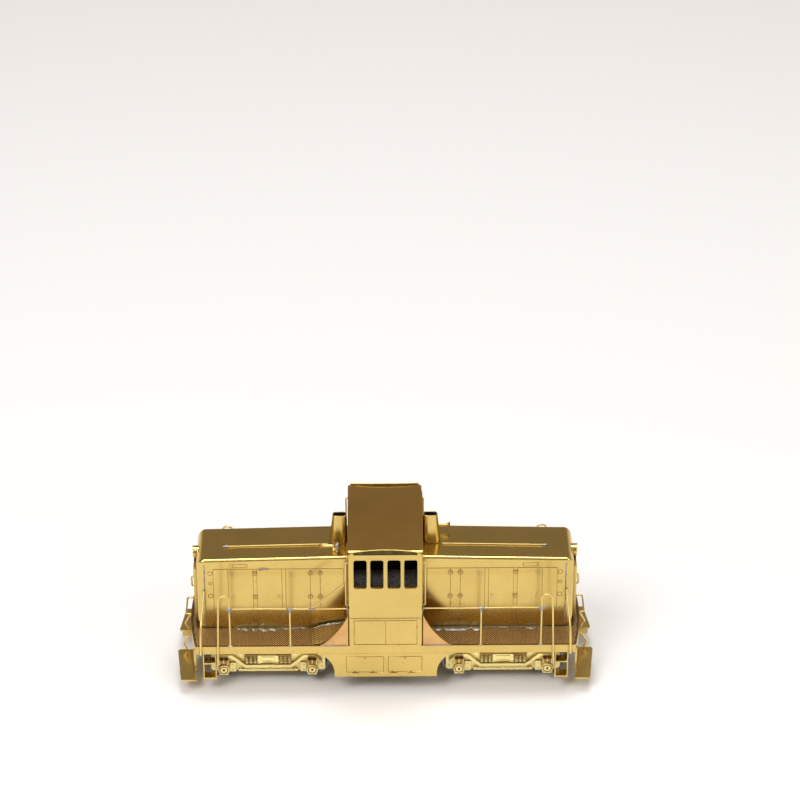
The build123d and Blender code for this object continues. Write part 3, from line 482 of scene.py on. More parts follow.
def tread_plate():
    """Raised lozenges over the walkways, the ramps and the end platforms."""
    ground = surface("frame_deck", "door_steps")
    edge_y = deck_high.y - PLAIN_EDGE
    corner_x = deck_high.x - PLATFORM_BOW - PLATFORM_MARGIN
    rows = int(2 * edge_y / (LOZENGE_PITCH[1] / 2))
    columns = int(2 * deck_high.x / LOZENGE_PITCH[0])
    bm = bmesh.new()
    for row in range(rows + 1):
        y = -edge_y + row * LOZENGE_PITCH[1] / 2
        reach = corner_x + PLATFORM_BOW * (1 - (y / edge_y) ** 2)
        for column in range(columns + 1):
            x = (column - columns / 2 + (0.5 if row % 2 else 0.0)) * LOZENGE_PITCH[0]
            by_hood = abs(x) < hood_high.x + HOOD_GAP[0] and abs(y) < hood_high.y + HOOD_GAP[1]
            by_cab = abs(x) < cab_high.x + CAB_GAP
            if abs(x) > reach or by_hood or by_cab:
                continue
            place, normal = ground(x, y)
            if place is None or normal.z < 0.5:
                continue
            along = Vector((normal.z, 0, -normal.x))
            across = normal.cross(along)
            corners = [along * -LOZENGE_HALF[0], across * -LOZENGE_HALF[1],
                       along * LOZENGE_HALF[0], across * LOZENGE_HALF[1]]
            root = place - normal * LOZENGE_ROOT
            crest = place + normal * LOZENGE_RISE
            skin(bm, [
                [bm.verts.new(root + corner) for corner in corners],
                [bm.verts.new(crest + corner * LOZENGE_TOP) for corner in corners],
            ])
    piece = new_piece("tread_plate", bm, TREAD, 20)
    attach(piece, "locomotive", "sheet_brass")


tread_plate()


# ---------------------------------------------------------------- solder

BEAD_DEPTH = 0.05 * MM  # how far a bead reaches into what it lies on
BEAD_HEIGHT = 0.26  # how high a bead on a level face stands, against a round one


noise.seed_set(4)  # without this noise_vector is seeded by the clock, and each run differs


def bead(name, points, radii, spread, material=SOLDER, level=None):
    """An uneven run of solder along the points, flattened if it lies on a face at the height level."""
    bm = bmesh.new()
    tube(bm, points, radii, sides=12)
    for vert in bm.verts:
        if level is not None:
            vert.co.z = level + max(-BEAD_DEPTH, vert.co.z - level) * BEAD_HEIGHT
        wobble = noise.noise_vector(vert.co * 2200) * spread
        vert.co += Vector((wobble.x * 0.5, wobble.y, abs(wobble.z) * 0.5))
    return attach(new_piece(name, bm, material, 80), "locomotive", "plated_steel")


HOOD_SEAMS = (  # start, stop, heaviness, the place of the thickest part and how far that part spreads
    ("rear", "near", 20.5, 41.0, 1.00, 34.0, 6.0),
    ("front", "near", 12.0, 43.5, 1.30, 18.5, 6.0),
    ("rear", "far", 12.0, 43.0, 0.7, 18.0, 6.0),
    ("front", "far", 20.5, 40.0, 0.6, 21.0, 5.0),
)
THICKEST_SEAM = 1.25


def hood_seam_solder():
    """Uneven beads of solder where the hoods meet the deck."""
    random.seed(4)
    foot = deck_high.z + 0.10 * MM
    steps = 120
    for end, side, start, stop, heavy, thick, spread in HOOD_SEAMS:
        points = []
        radii = []
        phase = random.uniform(0, 50)
        for step in range(steps + 1):
            share = step / steps
            x = start + (stop - start) * share
            swell = noise.noise(Vector((share * 11, phase, 0)))
            ripple = noise.noise(Vector((share * 60, phase, 3)))
            taper = min(1.0, share * 12, (1 - share) * 9)
            size = max(0.05, 0.26 + 0.75 * swell + 0.16 * ripple) * heavy * taper
            bulge = math.exp(-((x - thick) / spread) ** 2)
            size = size * (1 + 1.2 * bulge) + 0.45 * bulge * heavy + 0.03
            size = min(size, THICKEST_SEAM)
            out = HOOD_SIDE + size * 0.75 * MM
            points.append(Vector((ENDS[end] * x * MM, SIDES[side] * out, foot)))
            radii.append(size * MM)
        bead(f"solder_seam_{end}_{side}", points, radii, 0.15 * MM, level=foot)


hood_seam_solder()


def hood_foot_shadows():
    """A painted shadow: a thin dark line under each hood's outer corner, along its foot."""
    bm = bmesh.new()
    steps = 14
    start = hood_high.x - 0.9 * MM
    length = 5.6 * MM
    for sign_x in (-1, 1):
        for sign_y in (-1, 1):
            points = []
            for step in range(steps + 1):
                x = start - step / steps * length
                drift = noise.noise(Vector((step * 0.4, sign_x * 2.0, sign_y * 5.0)))
                height = deck_high.z + (0.10 + 0.04 * drift) * MM
                points.append(Vector((sign_x * x, sign_y * (HOOD_SIDE + 0.02 * MM), height)))
            tube(bm, points, 0.13 * MM, sides=8)
    attach(new_piece("hood_foot_shadows", bm, SHADE_BLACK, 60), "locomotive", "sheet_brass")


hood_foot_shadows()


def ramp_solder():
    """A ragged edge of solder where each ramp meets the hood and the walkway."""
    ground = surface("frame_deck", "door_steps")
    ramp_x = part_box("door_steps")[1].x
    steps = 70
    for end, seed in (("rear", 3.0), ("front", 11.0)):
        sign = ENDS[end]
        points = []
        radii = []
        for step in range(steps + 1):
            share = step / steps
            x = sign * (ramp_x - 0.4 * MM - share * (ramp_x - cab_high.x - 1.2 * MM))
            drift = noise.noise(Vector((share * 6, seed, 0)))
            y = sign * (hood_high.y + (0.75 + 0.5 * drift) * MM)
            place, normal = ground(x, y)
            swell = noise.noise(Vector((share * 16, seed, 5)))
            size = 0.24 + 0.20 * swell + 0.12 * math.sin(share * math.pi)
            points.append(place + normal * size * 0.2 * MM)
            radii.append(max(0.07, size) * MM)
        bead(f"solder_ramp_{end}", points, radii, 0.16 * MM)


ramp_solder()


def corner_seam_solder():
    """A thin grey line where each hood's side meets its rounded end."""
    corner_round = 2.15 * MM
    seam_x = hood_high.x - corner_round
    seam_y = HOOD_SIDE - 0.02 * MM
    foot = deck_high.z + 0.3 * MM
    height = hood_high.z - 2.6 * MM - deck_high.z
    steps = 40
    for end, sign_x in ENDS.items():
        for side, sign_y in SIDES.items():
            points = []
            radii = []
            for step in range(steps + 1):
                share = step / steps
                jitter = noise.noise(Vector((share * 14, sign_x * 3.0, sign_y * 5.0)))
                x = seam_x + jitter * 0.05 * MM
                points.append(Vector((sign_x * x, sign_y * seam_y, foot + share * height)))
                radii.append((0.16 + 0.06 * jitter) * MM)
            bead(f"solder_corner_{end}_{side}", points, radii, 0.03 * MM)


corner_seam_solder()


WIRE_HALF = 0.25 * MM  # the radius of the CAD model's rails and posts


def joint_solder():
    """Fillets of solder where handrails cross their posts, stand on the deck and meet the cab."""
    low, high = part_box("side_handrails")
    hoop_low, hoop_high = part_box("step_hoops")
    corner_low, corner_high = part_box("corner_rails")
    rail_y = high.y - WIRE_HALF
    rail_z = (low.z + high.z) / 2
    post_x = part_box("handrail_posts")[1].x - WIRE_HALF
    stair_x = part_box("door_rails")[1].x - 0.2 * MM
    hoop_foot = Vector((hoop_high.x - 0.15 * MM, hoop_high.y - 0.35 * MM, hoop_low.z + 0.3 * MM))
    corner_foot = Vector((corner_high.x - 0.3 * MM, corner_high.y - 0.4 * MM, corner_low.z + 0.5 * MM))
    bm = bmesh.new()
    seed = 1
    for sign_x in (-1, 1):
        for sign_y in (-1, 1):
            turned = Vector((sign_x, sign_y, 1))
            for x in (post_x, high.x):
                joint = Vector((x, rail_y, rail_z)) * turned
                blob(bm, joint, (1.05, 0.38, 0.34), seed)
                blob(bm, joint - Z_AXIS * 0.5 * MM, (0.42, 0.36, 0.75), seed + 1)
                blob(bm, (joint.x, joint.y, deck_high.z + 0.06 * MM), (0.72, 0.46, 0.24), seed + 2)
                seed += 3
            wall = Vector((cab_high.x + 0.15 * MM, rail_y, rail_z))
            blob(bm, wall * turned, (0.30, 0.42, 0.52), seed)
            blob(bm, hoop_foot * turned, (0.42, 0.26, 0.60), seed + 1)
            blob(bm, corner_foot * turned, (0.50, 0.30, 0.50), seed + 2)
            seed += 3
    for sign in (-1, 1):
        blob(bm, (sign * stair_x, sign * rail_y, rail_z + 0.12 * MM), (0.85, 0.36, 0.40), 61)
    attach(new_piece("solder_rail_joints", bm, SOLDER, 80), "locomotive", "plated_steel")


joint_solder()


def gusset_solder():
    """A reddish strip of solder along the foot of each gusset."""
    low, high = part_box("cab_gussets")
    strip_y = deck_high.y - 0.12 * MM
    strip_z = low.z + 0.20 * MM
    steps = 50
    for end, sign_x in ENDS.items():
        for side, sign_y in SIDES.items():
            points = []
            radii = []
            for step in range(steps + 1):
                share = step / steps
                x = cab_high.x + 0.1 * MM + share * (high.x - cab_high.x)
                lump = noise.noise(Vector((share * 9, sign_x * 2.0, sign_y * 4.0)))
                points.append(Vector((sign_x * x, sign_y * strip_y, strip_z)))
                radii.append((0.31 + 0.12 * lump) * MM * min(1.0, 0.3 + (1 - share) * 5))
            bead(f"solder_gusset_{end}_{side}", points, radii, 0.06 * MM, RED_SOLDER)


gusset_solder()


CONDUIT_Y = -1.6 * MM
PATCH_X = -32.6 * MM
PATCH_Z = 34.0 * MM


def top_solder():
    """Solder at the ends of the conduits and round the stems of the horns, and a patch on one hood."""
    bm = bmesh.new()
    conduit_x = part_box("conduits")[1].x - 0.2 * MM
    horn_low, horn_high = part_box("horn_front")
    horn_y = (horn_low.y + horn_high.y) / 2
    hood_top = surface("hood_front", "hood_rear")
    for seed, sign in enumerate((-1, 1)):
        end, _ = hood_top(sign * conduit_x, CONDUIT_Y)
        blob(bm, end + Z_AXIS * 0.15 * MM, (0.95, 0.42, 0.30), seed + 71)
        stem = Vector((sign * (horn_low.x + 0.7 * MM), sign * horn_y, horn_high.z - 0.9 * MM))
        blob(bm, stem, (0.98, 0.98, 0.92), seed + 74, rough=0.14)
        root, _ = hood_top(stem.x, stem.y)
        blob(bm, root + Z_AXIS * 0.1 * MM, (0.8, 0.7, 0.35), seed + 77)
    attach(new_piece("solder_tops", bm, SOLDER, 80), "locomotive", "plated_steel")
    bm = bmesh.new()
    patch = Vector((PATCH_X, -HOOD_SIDE, PATCH_Z))
    blob(bm, patch, (1.35, 0.16, 0.36), 91, rough=0.5)
    blob(bm, patch + Vector((-0.7 * MM, 0, -0.1 * MM)), (0.6, 0.14, 0.45), 92, rough=0.5)
    attach(new_piece("solder_hood_patch", bm, RED_SOLDER, 80), "locomotive", "plated_steel")


top_solder()


# ---------------------------------------------------------------- trim

NEAR_ENOUGH = 0.01 * MM  # two points closer than this count as one


def loop(bm, centre, across, upward, half_width, half_height, corner, radius, sides=6):
    """A thin raised outline with round corners. Sizes are in millimetres."""
    points = []
    for quarter, (sign_a, sign_u) in enumerate(((1, 1), (-1, 1), (-1, -1), (1, -1))):
        for step in range(7):
            turn = math.pi / 2 * (quarter + step / 6)
            a = sign_a * (half_width - corner) + corner * math.cos(turn)
            u = sign_u * (half_height - corner) + corner * math.sin(turn)
            points.append(Vector(centre) + (across * a + upward * u) * MM)
    kept = [points[0]]
    for point in points[1:]:
        if (point - kept[-1]).length > NEAR_ENOUGH:
            kept.append(point)
    if (kept[0] - kept[-1]).length < NEAR_ENOUGH:
        kept.pop()
    outward = across.cross(upward)
    rings = []
    for index, point in enumerate(kept):
        ahead = (kept[(index + 1) % len(kept)] - kept[index - 1]).normalized()
        rings.append(ring(bm, point, outward.cross(ahead), outward, radius * MM, sides))
    skin(bm, rings + rings[:1], closed_ends=False)


def round_loop(bm, centre, radius, thickness, sides=6):
    """A thin raised ring on a side face. Sizes are in millimetres."""
    loop(bm, centre, X_AXIS, Z_AXIS, radius, radius, radius, thickness, sides)


# Places and sizes of what is etched on a hood's side, in millimetres.
HINGE_X = (17.45, 20.1, 34.9)
HINGE_Z = (32.6, 25.0, 17.6)
HINGE_RING = 0.56
HINGE_BOSS = 0.15
STRAP_RIVET_Z = (20.5, 22.5, 27.5, 30.0)
VENT_X = 46.9
VENTS = ((32.6, 0.62), (29.4, 0.45), (25.4, 0.62))
PLATE_X = 38.85
PLATE_Z = 35.0
PLATE_HALF = (1.95, 0.5)
PLATE_ROUND = 0.3
ETCHED = 0.07


def hood_trim():
    """Etched rings round the hinges, vent rings and a blank plate's outline on the hoods' sides."""
    bm = bmesh.new()
    for sign_x in (-1, 1):
        for sign_y in (-1, 1):
            axis = Y_AXIS * sign_y
            face = sign_y * HOOD_SIDE
            boss = sign_y * (HOOD_SIDE + HINGE_BOSS * MM)
            for x in HINGE_X:
                for z in HINGE_Z:
                    centre = (sign_x * x * MM, boss, z * MM)
                    round_loop(bm, centre, HINGE_RING, ETCHED)
                    disc(bm, centre, axis, 0.20 * MM, 0.10 * MM, 12)
            for z, radius in VENTS:
                round_loop(bm, (sign_x * VENT_X * MM, face, z * MM), radius, ETCHED)
            plate = (sign_x * PLATE_X * MM, face, PLATE_Z * MM)
            loop(bm, plate, X_AXIS, Z_AXIS, *PLATE_HALF, PLATE_ROUND, ETCHED)
            for z in STRAP_RIVET_Z:
                for x in HINGE_X:
                    disc(bm, (sign_x * x * MM, face, z * MM), axis, 0.11 * MM, 0.07 * MM, 8)
    attach(new_piece("hood_etching", bm, BROWNED, 40), "locomotive", "sheet_brass")


hood_trim()


def loft(bm, sections):
    """A closed strip through sections that all have the same number of corners."""
    skin(bm, [[bm.verts.new(corner) for corner in section] for section in sections])


# Sizes at the roof's eaves, in millimetres.
STRIP_INSET_END = 0.25
STRIP_INSET_MIDDLE = 0.95
STRIP_HALF = 0.16
FAR_STRIP_RISE = 0.40
EAVE_PROUD = 0.10
TAB_HALF = (0.45, 0.24, 0.34)


def roof_drip_strips():
    """An arched strip over the side windows, with a crescent of painted shade between it and the eave."""
    low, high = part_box("cab_roof")
    half = high.x - 0.9 * MM
    arching = STRIP_INSET_MIDDLE - STRIP_INSET_END
    steps = 36
    for side, sign in SIDES.items():
        strip = bmesh.new()
        crescent = bmesh.new()
        points = []
        sections = []
        for step in range(steps + 1):
            x = half * (2 * step / steps - 1)
            inset = STRIP_INSET_END + arching * (1 - (x / half) ** 2)
            rise = 0.42 + 0.53 * inset + (FAR_STRIP_RISE if side == "far" else 0.0)
            eave = Vector((x, sign * (high.y + EAVE_PROUD * MM), low.z + 0.03 * MM))
            edge = Vector((x, sign * (high.y + EAVE_PROUD * MM), low.z + 0.30 * MM))
            shoulder = Vector((x, sign * (high.y - 0.12 * MM), low.z + 0.54 * MM))
            crest = Vector((x, sign * (high.y - inset * MM), low.z + rise * MM))
            inward = Vector((0, -sign * 0.6 * MM, -0.6 * MM))
            points.append(crest)
            sections.append([eave, edge, shoulder, crest, crest + inward, eave + inward])
        tube(strip, points, STRIP_HALF * MM)
        loft(crescent, sections)
        for end in (-1, 1):
            tab = Vector((end * (half - 0.2 * MM), sign * (high.y + 0.02 * MM), low.z + 0.25 * MM))
            reach = Vector(TAB_HALF) * MM
            box_faces(strip, tab - reach, tab + reach)
        attach(new_piece(f"drip_strip_{side}", strip, SHEET, 40), "locomotive", "sheet_brass")
        attach(new_piece(f"eave_{side}", crescent, EAVE_SHADE, 40), "locomotive", "sheet_brass")


roof_drip_strips()


# Places and sizes of the cab's side windows, in millimetres.
WINDOW_X = (-6.7, -2.27, 2.27, 6.7)
WINDOW_LOW = 33.5
WINDOW_HIGH = 42.5
WINDOW_HALF = 1.75
WINDOW_ROUND = 0.75
WINDOW_LAP = 0.05  # how far a corner piece reaches into the wall round its window
WINDOW_FRAME = 0.12
WINDOW_WIRE = 0.07


def window_frames():
    """A thin raised frame round each cab side window, with the opening's corners rounded off."""
    bm = bmesh.new()
    middle = (WINDOW_LOW + WINDOW_HIGH) / 2
    height = (WINDOW_HIGH - WINDOW_LOW) / 2
    for sign in (-1, 1):
        outer = sign * (cab_high.y - 0.04 * MM)
        inner = sign * (cab_high.y - CAB_WALL)
        for x in WINDOW_X:
            centre = Vector((x * MM, outer, middle * MM))
            outline_half = (WINDOW_HALF + WINDOW_FRAME, height + WINDOW_FRAME)
            loop(bm, centre, X_AXIS, Z_AXIS, *outline_half, WINDOW_ROUND, WINDOW_WIRE)
            for side in (-1, 1):
                for end in (-1, 1):
                    corner_x = x + side * (WINDOW_HALF + WINDOW_LAP)
                    corner_z = middle + end * (height + WINDOW_LAP)
                    corner = Vector((corner_x, 0, corner_z)) * MM
                    hub = corner - Vector((side, 0, end)) * (WINDOW_ROUND + WINDOW_LAP) * MM
                    outline = [corner]
                    for step in range(7):
                        turn = math.pi / 2 * step / 6
                        out = Vector((side * math.cos(turn), 0, end * math.sin(turn)))
                        outline.append(hub + out * WINDOW_ROUND * MM)
                    loft(bm, [[point + Y_AXIS * y for point in outline] for y in (outer, inner)])
    attach(new_piece("window_frames", bm, SHEET, 40), "locomotive", "sheet_brass")


window_frames()


# Places of rivets and fittings on the sides, in millimetres.
BELT_RIVETS = 19
BELT_REACH = 8.4
BELT_Z = (23.55, 24.45)
SILL_RIVETS = 40
SILL_REACH = 48.75
SILL_Z = 13.1
SKIRT_X = 19
TANK_HINGE_X = (-8.3, -3.4, 1.9, 6.9)
TANK_HINGE_Z = 6.2
TANK_LATCH_X = (-5.6, 5.2)
TANK_LATCH_Z = 11.0


def evenly(reach, count):
    """Places in a row, in millimetres, from minus reach to reach."""
    return [-reach + index * 2 * reach / (count - 1) for index in range(count)]


def rivet_rows():
    """Small rivets on the cab's seams and the sills, and the tank doors' hinges on the skirts."""
    rivets = bmesh.new()
    marks = bmesh.new()
    for sign in (-1, 1):
        axis = Y_AXIS * sign
        face = sign * deck_high.y
        for x in evenly(BELT_REACH, BELT_RIVETS):
            for z in BELT_Z:
                disc(rivets, (x * MM, face, z * MM), axis, 0.09 * MM, 0.07 * MM, 8)
        for x in TANK_HINGE_X:
            hinge = Vector((x * MM, face, TANK_HINGE_Z * MM))
            tube(marks, [hinge - X_AXIS * 0.8 * MM, hinge + X_AXIS * 0.8 * MM], 0.10 * MM, sides=8)
            disc(marks, hinge + Z_AXIS * 0.35 * MM, axis, 0.24 * MM, 0.12 * MM, 10)
            disc(marks, hinge + X_AXIS * 0.9 * MM, axis, 0.16 * MM, 0.12 * MM, 10)
        for x in TANK_LATCH_X:
            disc(marks, (x * MM, face, TANK_LATCH_Z * MM), axis, 0.18 * MM, 0.12 * MM, 10)
        for x in evenly(SILL_REACH, SILL_RIVETS):
            if abs(x) > SKIRT_X:
                disc(rivets, (x * MM, face, SILL_Z * MM), axis, 0.08 * MM, 0.06 * MM, 8)
    attach(new_piece("rivets", rivets, SHEET, 40), "locomotive", "sheet_brass")
    attach(new_piece("tank_door_marks", marks, BROWNED, 40), "locomotive", "sheet_brass")


rivet_rows()


SPECK_ZONES = (  # two opposite corners of each zone, along and up, and how many specks it has
    ((-8.6, 15.6), (-8.1, 24.2), 16),
    ((8.1, 15.6), (8.7, 24.2), 18),
    ((-8.6, 23.5), (8.6, 24.3), 14),
    ((-9.6, 15.1), (9.6, 15.7), 16),
    ((-9.4, 25.0), (9.4, 43.0), 8),
    ((-31.0, 13.2), (-26.0, 14.6), 8),
    ((-48.0, 12.9), (48.0, 13.5), 26),
    ((-48.0, 13.6), (48.0, 14.8), 18),
    ((-11.0, 5.0), (11.0, 6.0), 20),
    ((-13.0, 6.0), (13.0, 12.0), 14),
)


def flux_specks():
    """Tiny brown specks of old flux round the seams of the cab, the sill and the skirts."""
    random.seed(12)
    bm = bmesh.new()
    for sign in (-1, 1):
        for low, high, count in SPECK_ZONES:
            for index in range(count):
                x = random.uniform(low[0], high[0]) * MM
                z = random.uniform(low[1], high[1]) * MM
                size = (random.uniform(0.05, 0.13), 0.03, random.uniform(0.04, 0.11))
                blob(bm, (x, sign * deck_high.y, z), size, index + sign, rough=0.6, detail=1)
    attach(new_piece("flux_specks", bm, BROWNED, 60), "locomotive", "sheet_brass")


flux_specks()


def side_rails():
    """Thin wire rails along both walkways, each with a slight bend."""
    low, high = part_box("side_handrails")
    bm = bmesh.new()
    wire = 0.17 * MM
    middle_z = (low.z + high.z) / 2
    rail_y = high.y - WIRE_HALF
    start = cab_high.x - 0.05 * MM
    steps = 24
    for sign_x in (-1, 1):
        for sign_y in (-1, 1):
            points = []
            for step in range(steps + 1):
                share = step / steps
                x = start + share * (high.x - cab_high.x)
                sag = math.sin(share * math.pi * 2) * 0.06 * MM
                points.append(Vector((sign_x * x, sign_y * (rail_y + sag * 0.3), middle_z - sag)))
            tube(bm, points, wire, sides=12)
    attach(new_piece("side_rails", bm, WIRE, 60), "locomotive", "wire_brass", "side_handrails")


side_rails()


# Sizes of a headlight's trim, in millimetres.
BEZEL = 1.60
BEZEL_WIRE = 0.17
VISOR = (1.62, 1.82)
LENS_RADIUS = 1.38
LENS_DOME = ((1.0, 0.0), (1.0, 0.12), (0.8, 0.26), (0.5, 0.36), (0.2, 0.40))
LENS_SET_BACK = 0.55
BRACKET_HALF = 0.45


def lamp_trim():
    """A bezel, a visor and a bracket for each headlight, and its domed lens."""
    lamp_low, lamp_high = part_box("headlight_front")
    middle_z = (lamp_low.z + lamp_high.z) / 2
    front = lamp_high.x
    metal = bmesh.new()
    lens = bmesh.new()
    for sign in (-1, 1):
        facing = X_AXIS * sign
        centre = Vector((sign * (front - 0.02 * MM), 0, middle_z))
        loop(metal, centre, Y_AXIS, Z_AXIS, BEZEL, BEZEL, BEZEL, BEZEL_WIRE, 8)
        visor = []
        for step in range(13):
            turn = math.pi * (0.12 + 0.76 * step / 12)
            out = Vector((0, math.cos(turn), math.sin(turn)))
            inner, outer = (centre + out * radius * MM for radius in VISOR)
            reach = facing * (0.05 + 0.30 * math.sin(turn)) * MM
            visor.append((inner, outer, outer + reach, inner + reach))
        loft(metal, visor)
        start = (sign * (hood_high.x - 0.1 * MM), -BRACKET_HALF * MM, lamp_low.z - 1.2 * MM)
        stop = (sign * (hood_high.x + 0.75 * MM), BRACKET_HALF * MM, lamp_low.z + 0.5 * MM)
        box_faces(metal, start, stop)
        rings = []
        for share, depth in LENS_DOME:
            middle = Vector((sign * (front + (depth - LENS_SET_BACK) * MM), 0, middle_z))
            rings.append(ring(lens, middle, Y_AXIS, Z_AXIS, LENS_RADIUS * MM * share, 28))
        skin(lens, rings)
    attach(new_piece("headlight_trim", metal, CAST, 40), "locomotive", "cast_brass")
    attach(new_piece("headlight_glass", lens, LENS, 40), "locomotive", "lens_glass", "headlight_lenses")


lamp_trim()


# ---------------------------------------------------------------- trucks

def coil(bm, foot, height, radius, wire, turns):
    """A spring that stands on foot."""
    steps = turns * 14
    points = []
    for step in range(steps + 1):
        turn = 2 * math.pi * turns * step / steps
        rise = height * step / steps
        points.append(foot + Vector((radius * math.cos(turn), radius * math.sin(turn), rise)))
    tube(bm, points, wire, sides=8)


# Places on a sideframe, in millimetres along from the truck's centre, out from its middle line and up.
AXLE_X = 11.95
JOURNAL_Y = 13.2
JOURNAL_Z = 5.0
LID_BOLT_TURNS = (0.5, 2.64, 3.9, 5.5)
LID_RADIUS = 1.65
LID_DEPTH = 0.62
LID_GROOVE = 1.08
LUG_X = (-0.62, 0.62)
LUG_HALF = 0.40
SPRING_X = (3.55, 4.65, 5.75)
SPRING_HEIGHT = 2.5
SPRING_RADIUS = 0.42
SPRING_WIRE = 0.125
SPRING_TURNS = 5
SPRING_CAPS = (
    ((3.0, 11.3, 8.90), (6.3, 13.0, 9.55)),
    ((3.6, 11.3, 9.35), (5.75, 12.6, 9.62)),
)
FRAME_BOLTS = (
    (7.4, 12.0, 4.35), (9.55, 12.0, 5.5), (9.55, 12.0, 3.9),
    (14.6, 11.4, 4.6), (14.6, 11.4, 8.0), (7.6, 11.4, 9.0),
)
BRAKE_LINK = ((13.2, 12.0, 7.6), (14.2, 12.15, 7.0), (14.5, 12.15, 6.2))
PLATE_FACE_Y = 12.62


def truck_trim(end):
    """Journal lids, springs, caps, a blank plate and bolts on both sideframes of one truck."""
    low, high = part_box(f"truck_sideframes_{end}")
    centre = (low.x + high.x) / 2
    metal = bmesh.new()
    springs = bmesh.new()
    brown = bmesh.new()
    for sign_y in (-1, 1):
        axis = Y_AXIS * sign_y

        def at(x, y, z):
            """The point for a place on this sideframe."""
            return Vector((centre + x * MM, sign_y * y * MM, z * MM))

        for side in (-1, 1):
            lid = at(side * AXLE_X, JOURNAL_Y, JOURNAL_Z)
            disc(metal, lid, axis, LID_RADIUS * MM, LID_DEPTH * MM, 32, 0.88)
            round_loop(brown, lid + axis * 0.58 * MM, LID_GROOVE, 0.17, 8)
            disc(brown, lid + axis * 0.55 * MM, axis, 0.36 * MM, 0.38 * MM, 6)
            for turn in LID_BOLT_TURNS:
                bolt = lid + Vector((math.cos(turn), 0, math.sin(turn))) * 1.36 * MM
                disc(brown, bolt + axis * 0.36 * MM, axis, 0.17 * MM, 0.26 * MM, 6)
            for lug in LUG_X:
                x = side * AXLE_X + lug
                box_faces(brown, at(x - LUG_HALF, 12.6, 6.75), at(x + LUG_HALF, 13.55, 7.95))
            for x in SPRING_X:
                foot = at(side * x, 12.1, 6.3)
                coil(springs, foot, SPRING_HEIGHT * MM, SPRING_RADIUS * MM, SPRING_WIRE * MM, SPRING_TURNS)
            for inner, outer in SPRING_CAPS:
                box_faces(brown, at(side * inner[0], *inner[1:]), at(side * outer[0], *outer[1:]))
            for x, y, z in FRAME_BOLTS:
                disc(metal, at(side * x, y, z), axis, 0.20 * MM, 0.20 * MM, 6)
            tube(metal, [at(side * x, y, z) for x, y, z in BRAKE_LINK], 0.28 * MM)
        arch = []
        for step in range(17):
            share = step / 16
            arch.append(at(-2.8 + 5.6 * share, 12.45, 6.35 + 0.5 * math.sin(math.pi * share)))
        tube(metal, arch, 0.20 * MM)
        box_faces(metal, at(-1.9, 12.45, 7.25), at(1.9, PLATE_FACE_Y, 8.45))
        loop(metal, at(0, PLATE_FACE_Y, 7.85), X_AXIS, Z_AXIS, 1.75, 0.5, 0.15, 0.05)
        rod = []
        for step in range(13):
            rod.append(at(-6.4 + 12.8 * step / 12, 12.25, 4.62 + 0.08 * math.sin(step * 1.7)))
        tube(metal, rod, 0.16 * MM, sides=8)
        for x in range(-7, 8, 2):
            disc(metal, at(x, 12.0, 3.75), axis, 0.13 * MM, 0.10 * MM, 8)
    for name, bm, finish in (
        ("truck_trim", metal, CAST),
        ("truck_springs", springs, CAST),
        ("truck_caps", brown, BROWNED),
    ):
        attach(new_piece(f"{name}_{end}", bm, finish, 40), f"truck_{end}", "cast_brass")


for end in ENDS:
    truck_trim(end)


# ---------------------------------------------------------------- stage

def paper(name):
    """Matt pale paper."""
    nodes = Nodes(name)
    tint = nodes.blend(nodes.noise(400, 3.0), (0.90, 0.90, 0.90), (0.88, 0.88, 0.885))
    nodes.link(tint, nodes.shader.inputs["Base Color"])
    nodes.shader.inputs["Roughness"].default_value = 0.8
    return nodes.material


def floor():
    """A plain sheet of pale paper, just under the wheels."""
    half = 1.6
    under = 0.0001
    bm = bmesh.new()
    bm.faces.new([
        bm.verts.new((x * half, y * half, -under)) for x, y in ((-1, -1), (1, -1), (1, 1), (-1, 1))
    ])
    new_piece("floor", bm, paper("floor"))


# How bright the studio is by the sine of the height: 0 is the horizon and all under it, 1 is overhead.
# The stops between are dim and warm, because the model's level faces mirror them.
HORIZON = 0.95
OVERHEAD = 0.75
LEVELS = ((0.20, 0.62), (0.38, 0.20), (0.62, 0.22), (0.85, 0.26))
WARMTH = (1.15, 0.96, 0.82)


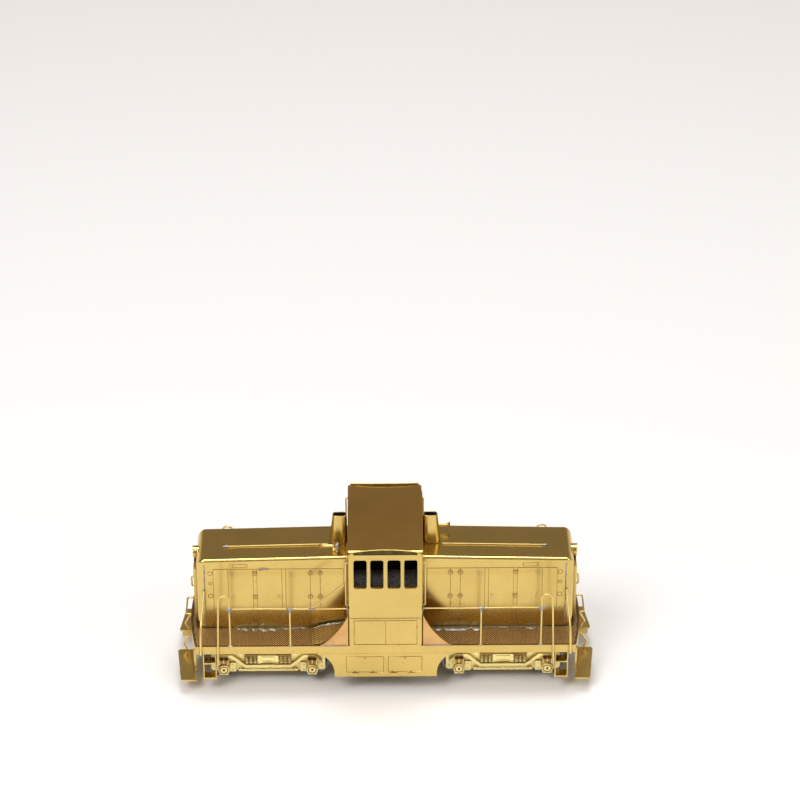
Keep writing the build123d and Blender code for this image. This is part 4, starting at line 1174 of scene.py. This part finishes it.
def studio():
    """The surroundings that light the model and are mirrored in it."""
    world = bpy.data.worlds.new("studio")
    bpy.context.scene.world = world
    world.use_nodes = True
    tree = world.node_tree
    place = tree.nodes.new("ShaderNodeTexCoord")
    split = tree.nodes.new("ShaderNodeSeparateXYZ")
    tree.links.new(place.outputs["Generated"], split.inputs["Vector"])
    ramp = tree.nodes.new("ShaderNodeValToRGB")
    tree.links.new(split.outputs["Z"], ramp.inputs["Fac"])
    tree.links.new(ramp.outputs["Color"], tree.nodes["Background"].inputs["Color"])
    stops = ramp.color_ramp.elements
    stops[0].position, stops[0].color = 0.0, (HORIZON, HORIZON, HORIZON, 1)
    stops[1].position, stops[1].color = 1.0, (OVERHEAD, OVERHEAD, OVERHEAD, 1)
    for position, level in LEVELS:
        stops.new(position).color = (*(level * share for share in WARMTH), 1)


LIGHTS = (  # name, place, size in metres, power in watts
    ("key", (-0.42, -0.50, 0.80), 0.45, 4.8),
    ("fill", (0.60, -0.45, 0.60), 0.60, 1.8),
    ("top", (0.05, 0.15, 1.00), 0.45, 4.6),
)


def lights():
    """Soft lights that all face the model."""
    target = Vector((0, 0, 20 * MM))
    for name, place, size, power in LIGHTS:
        light = bpy.data.lights.new(name, "AREA")
        light.size = size
        light.energy = power
        lamp = bpy.data.objects.new(name, light)
        lamp.location = place
        lamp.rotation_euler = (target - Vector(place)).to_track_quat("-Z", "Y").to_euler()
        bpy.context.scene.collection.objects.link(lamp)


CAMERA_PITCH = math.radians(30.86)
CAMERA_TURN = math.radians(-0.625)
CAMERA_DISTANCE = 868.6 * MM
CAMERA_LENS = 143.8
AIM_HEIGHT = 20 * MM
AIM_RIGHT = 4.03 * MM
AIM_UP = 52.9 * MM


def camera():
    """The photo's view: from the side, looking down, with the model low in the picture."""
    right = Vector((math.cos(CAMERA_TURN), math.sin(CAMERA_TURN), 0))
    level = Vector((-math.sin(CAMERA_TURN), math.cos(CAMERA_TURN), 0))
    ahead = level * math.cos(CAMERA_PITCH) - Z_AXIS * math.sin(CAMERA_PITCH)
    upward = level * math.sin(CAMERA_PITCH) + Z_AXIS * math.cos(CAMERA_PITCH)
    aim = Z_AXIS * AIM_HEIGHT + right * AIM_RIGHT + upward * AIM_UP
    turned = Matrix((right, upward, -ahead)).transposed().to_4x4()
    lens = bpy.data.cameras.new("camera")
    lens.lens = CAMERA_LENS
    lens.clip_start = 0.01
    holder = bpy.data.objects.new("camera", lens)
    holder.matrix_world = Matrix.Translation(aim - ahead * CAMERA_DISTANCE) @ turned
    bpy.context.scene.collection.objects.link(holder)
    bpy.context.scene.camera = holder
    bpy.context.scene.view_settings.view_transform = "Standard"


floor()
studio()
lights()
camera()
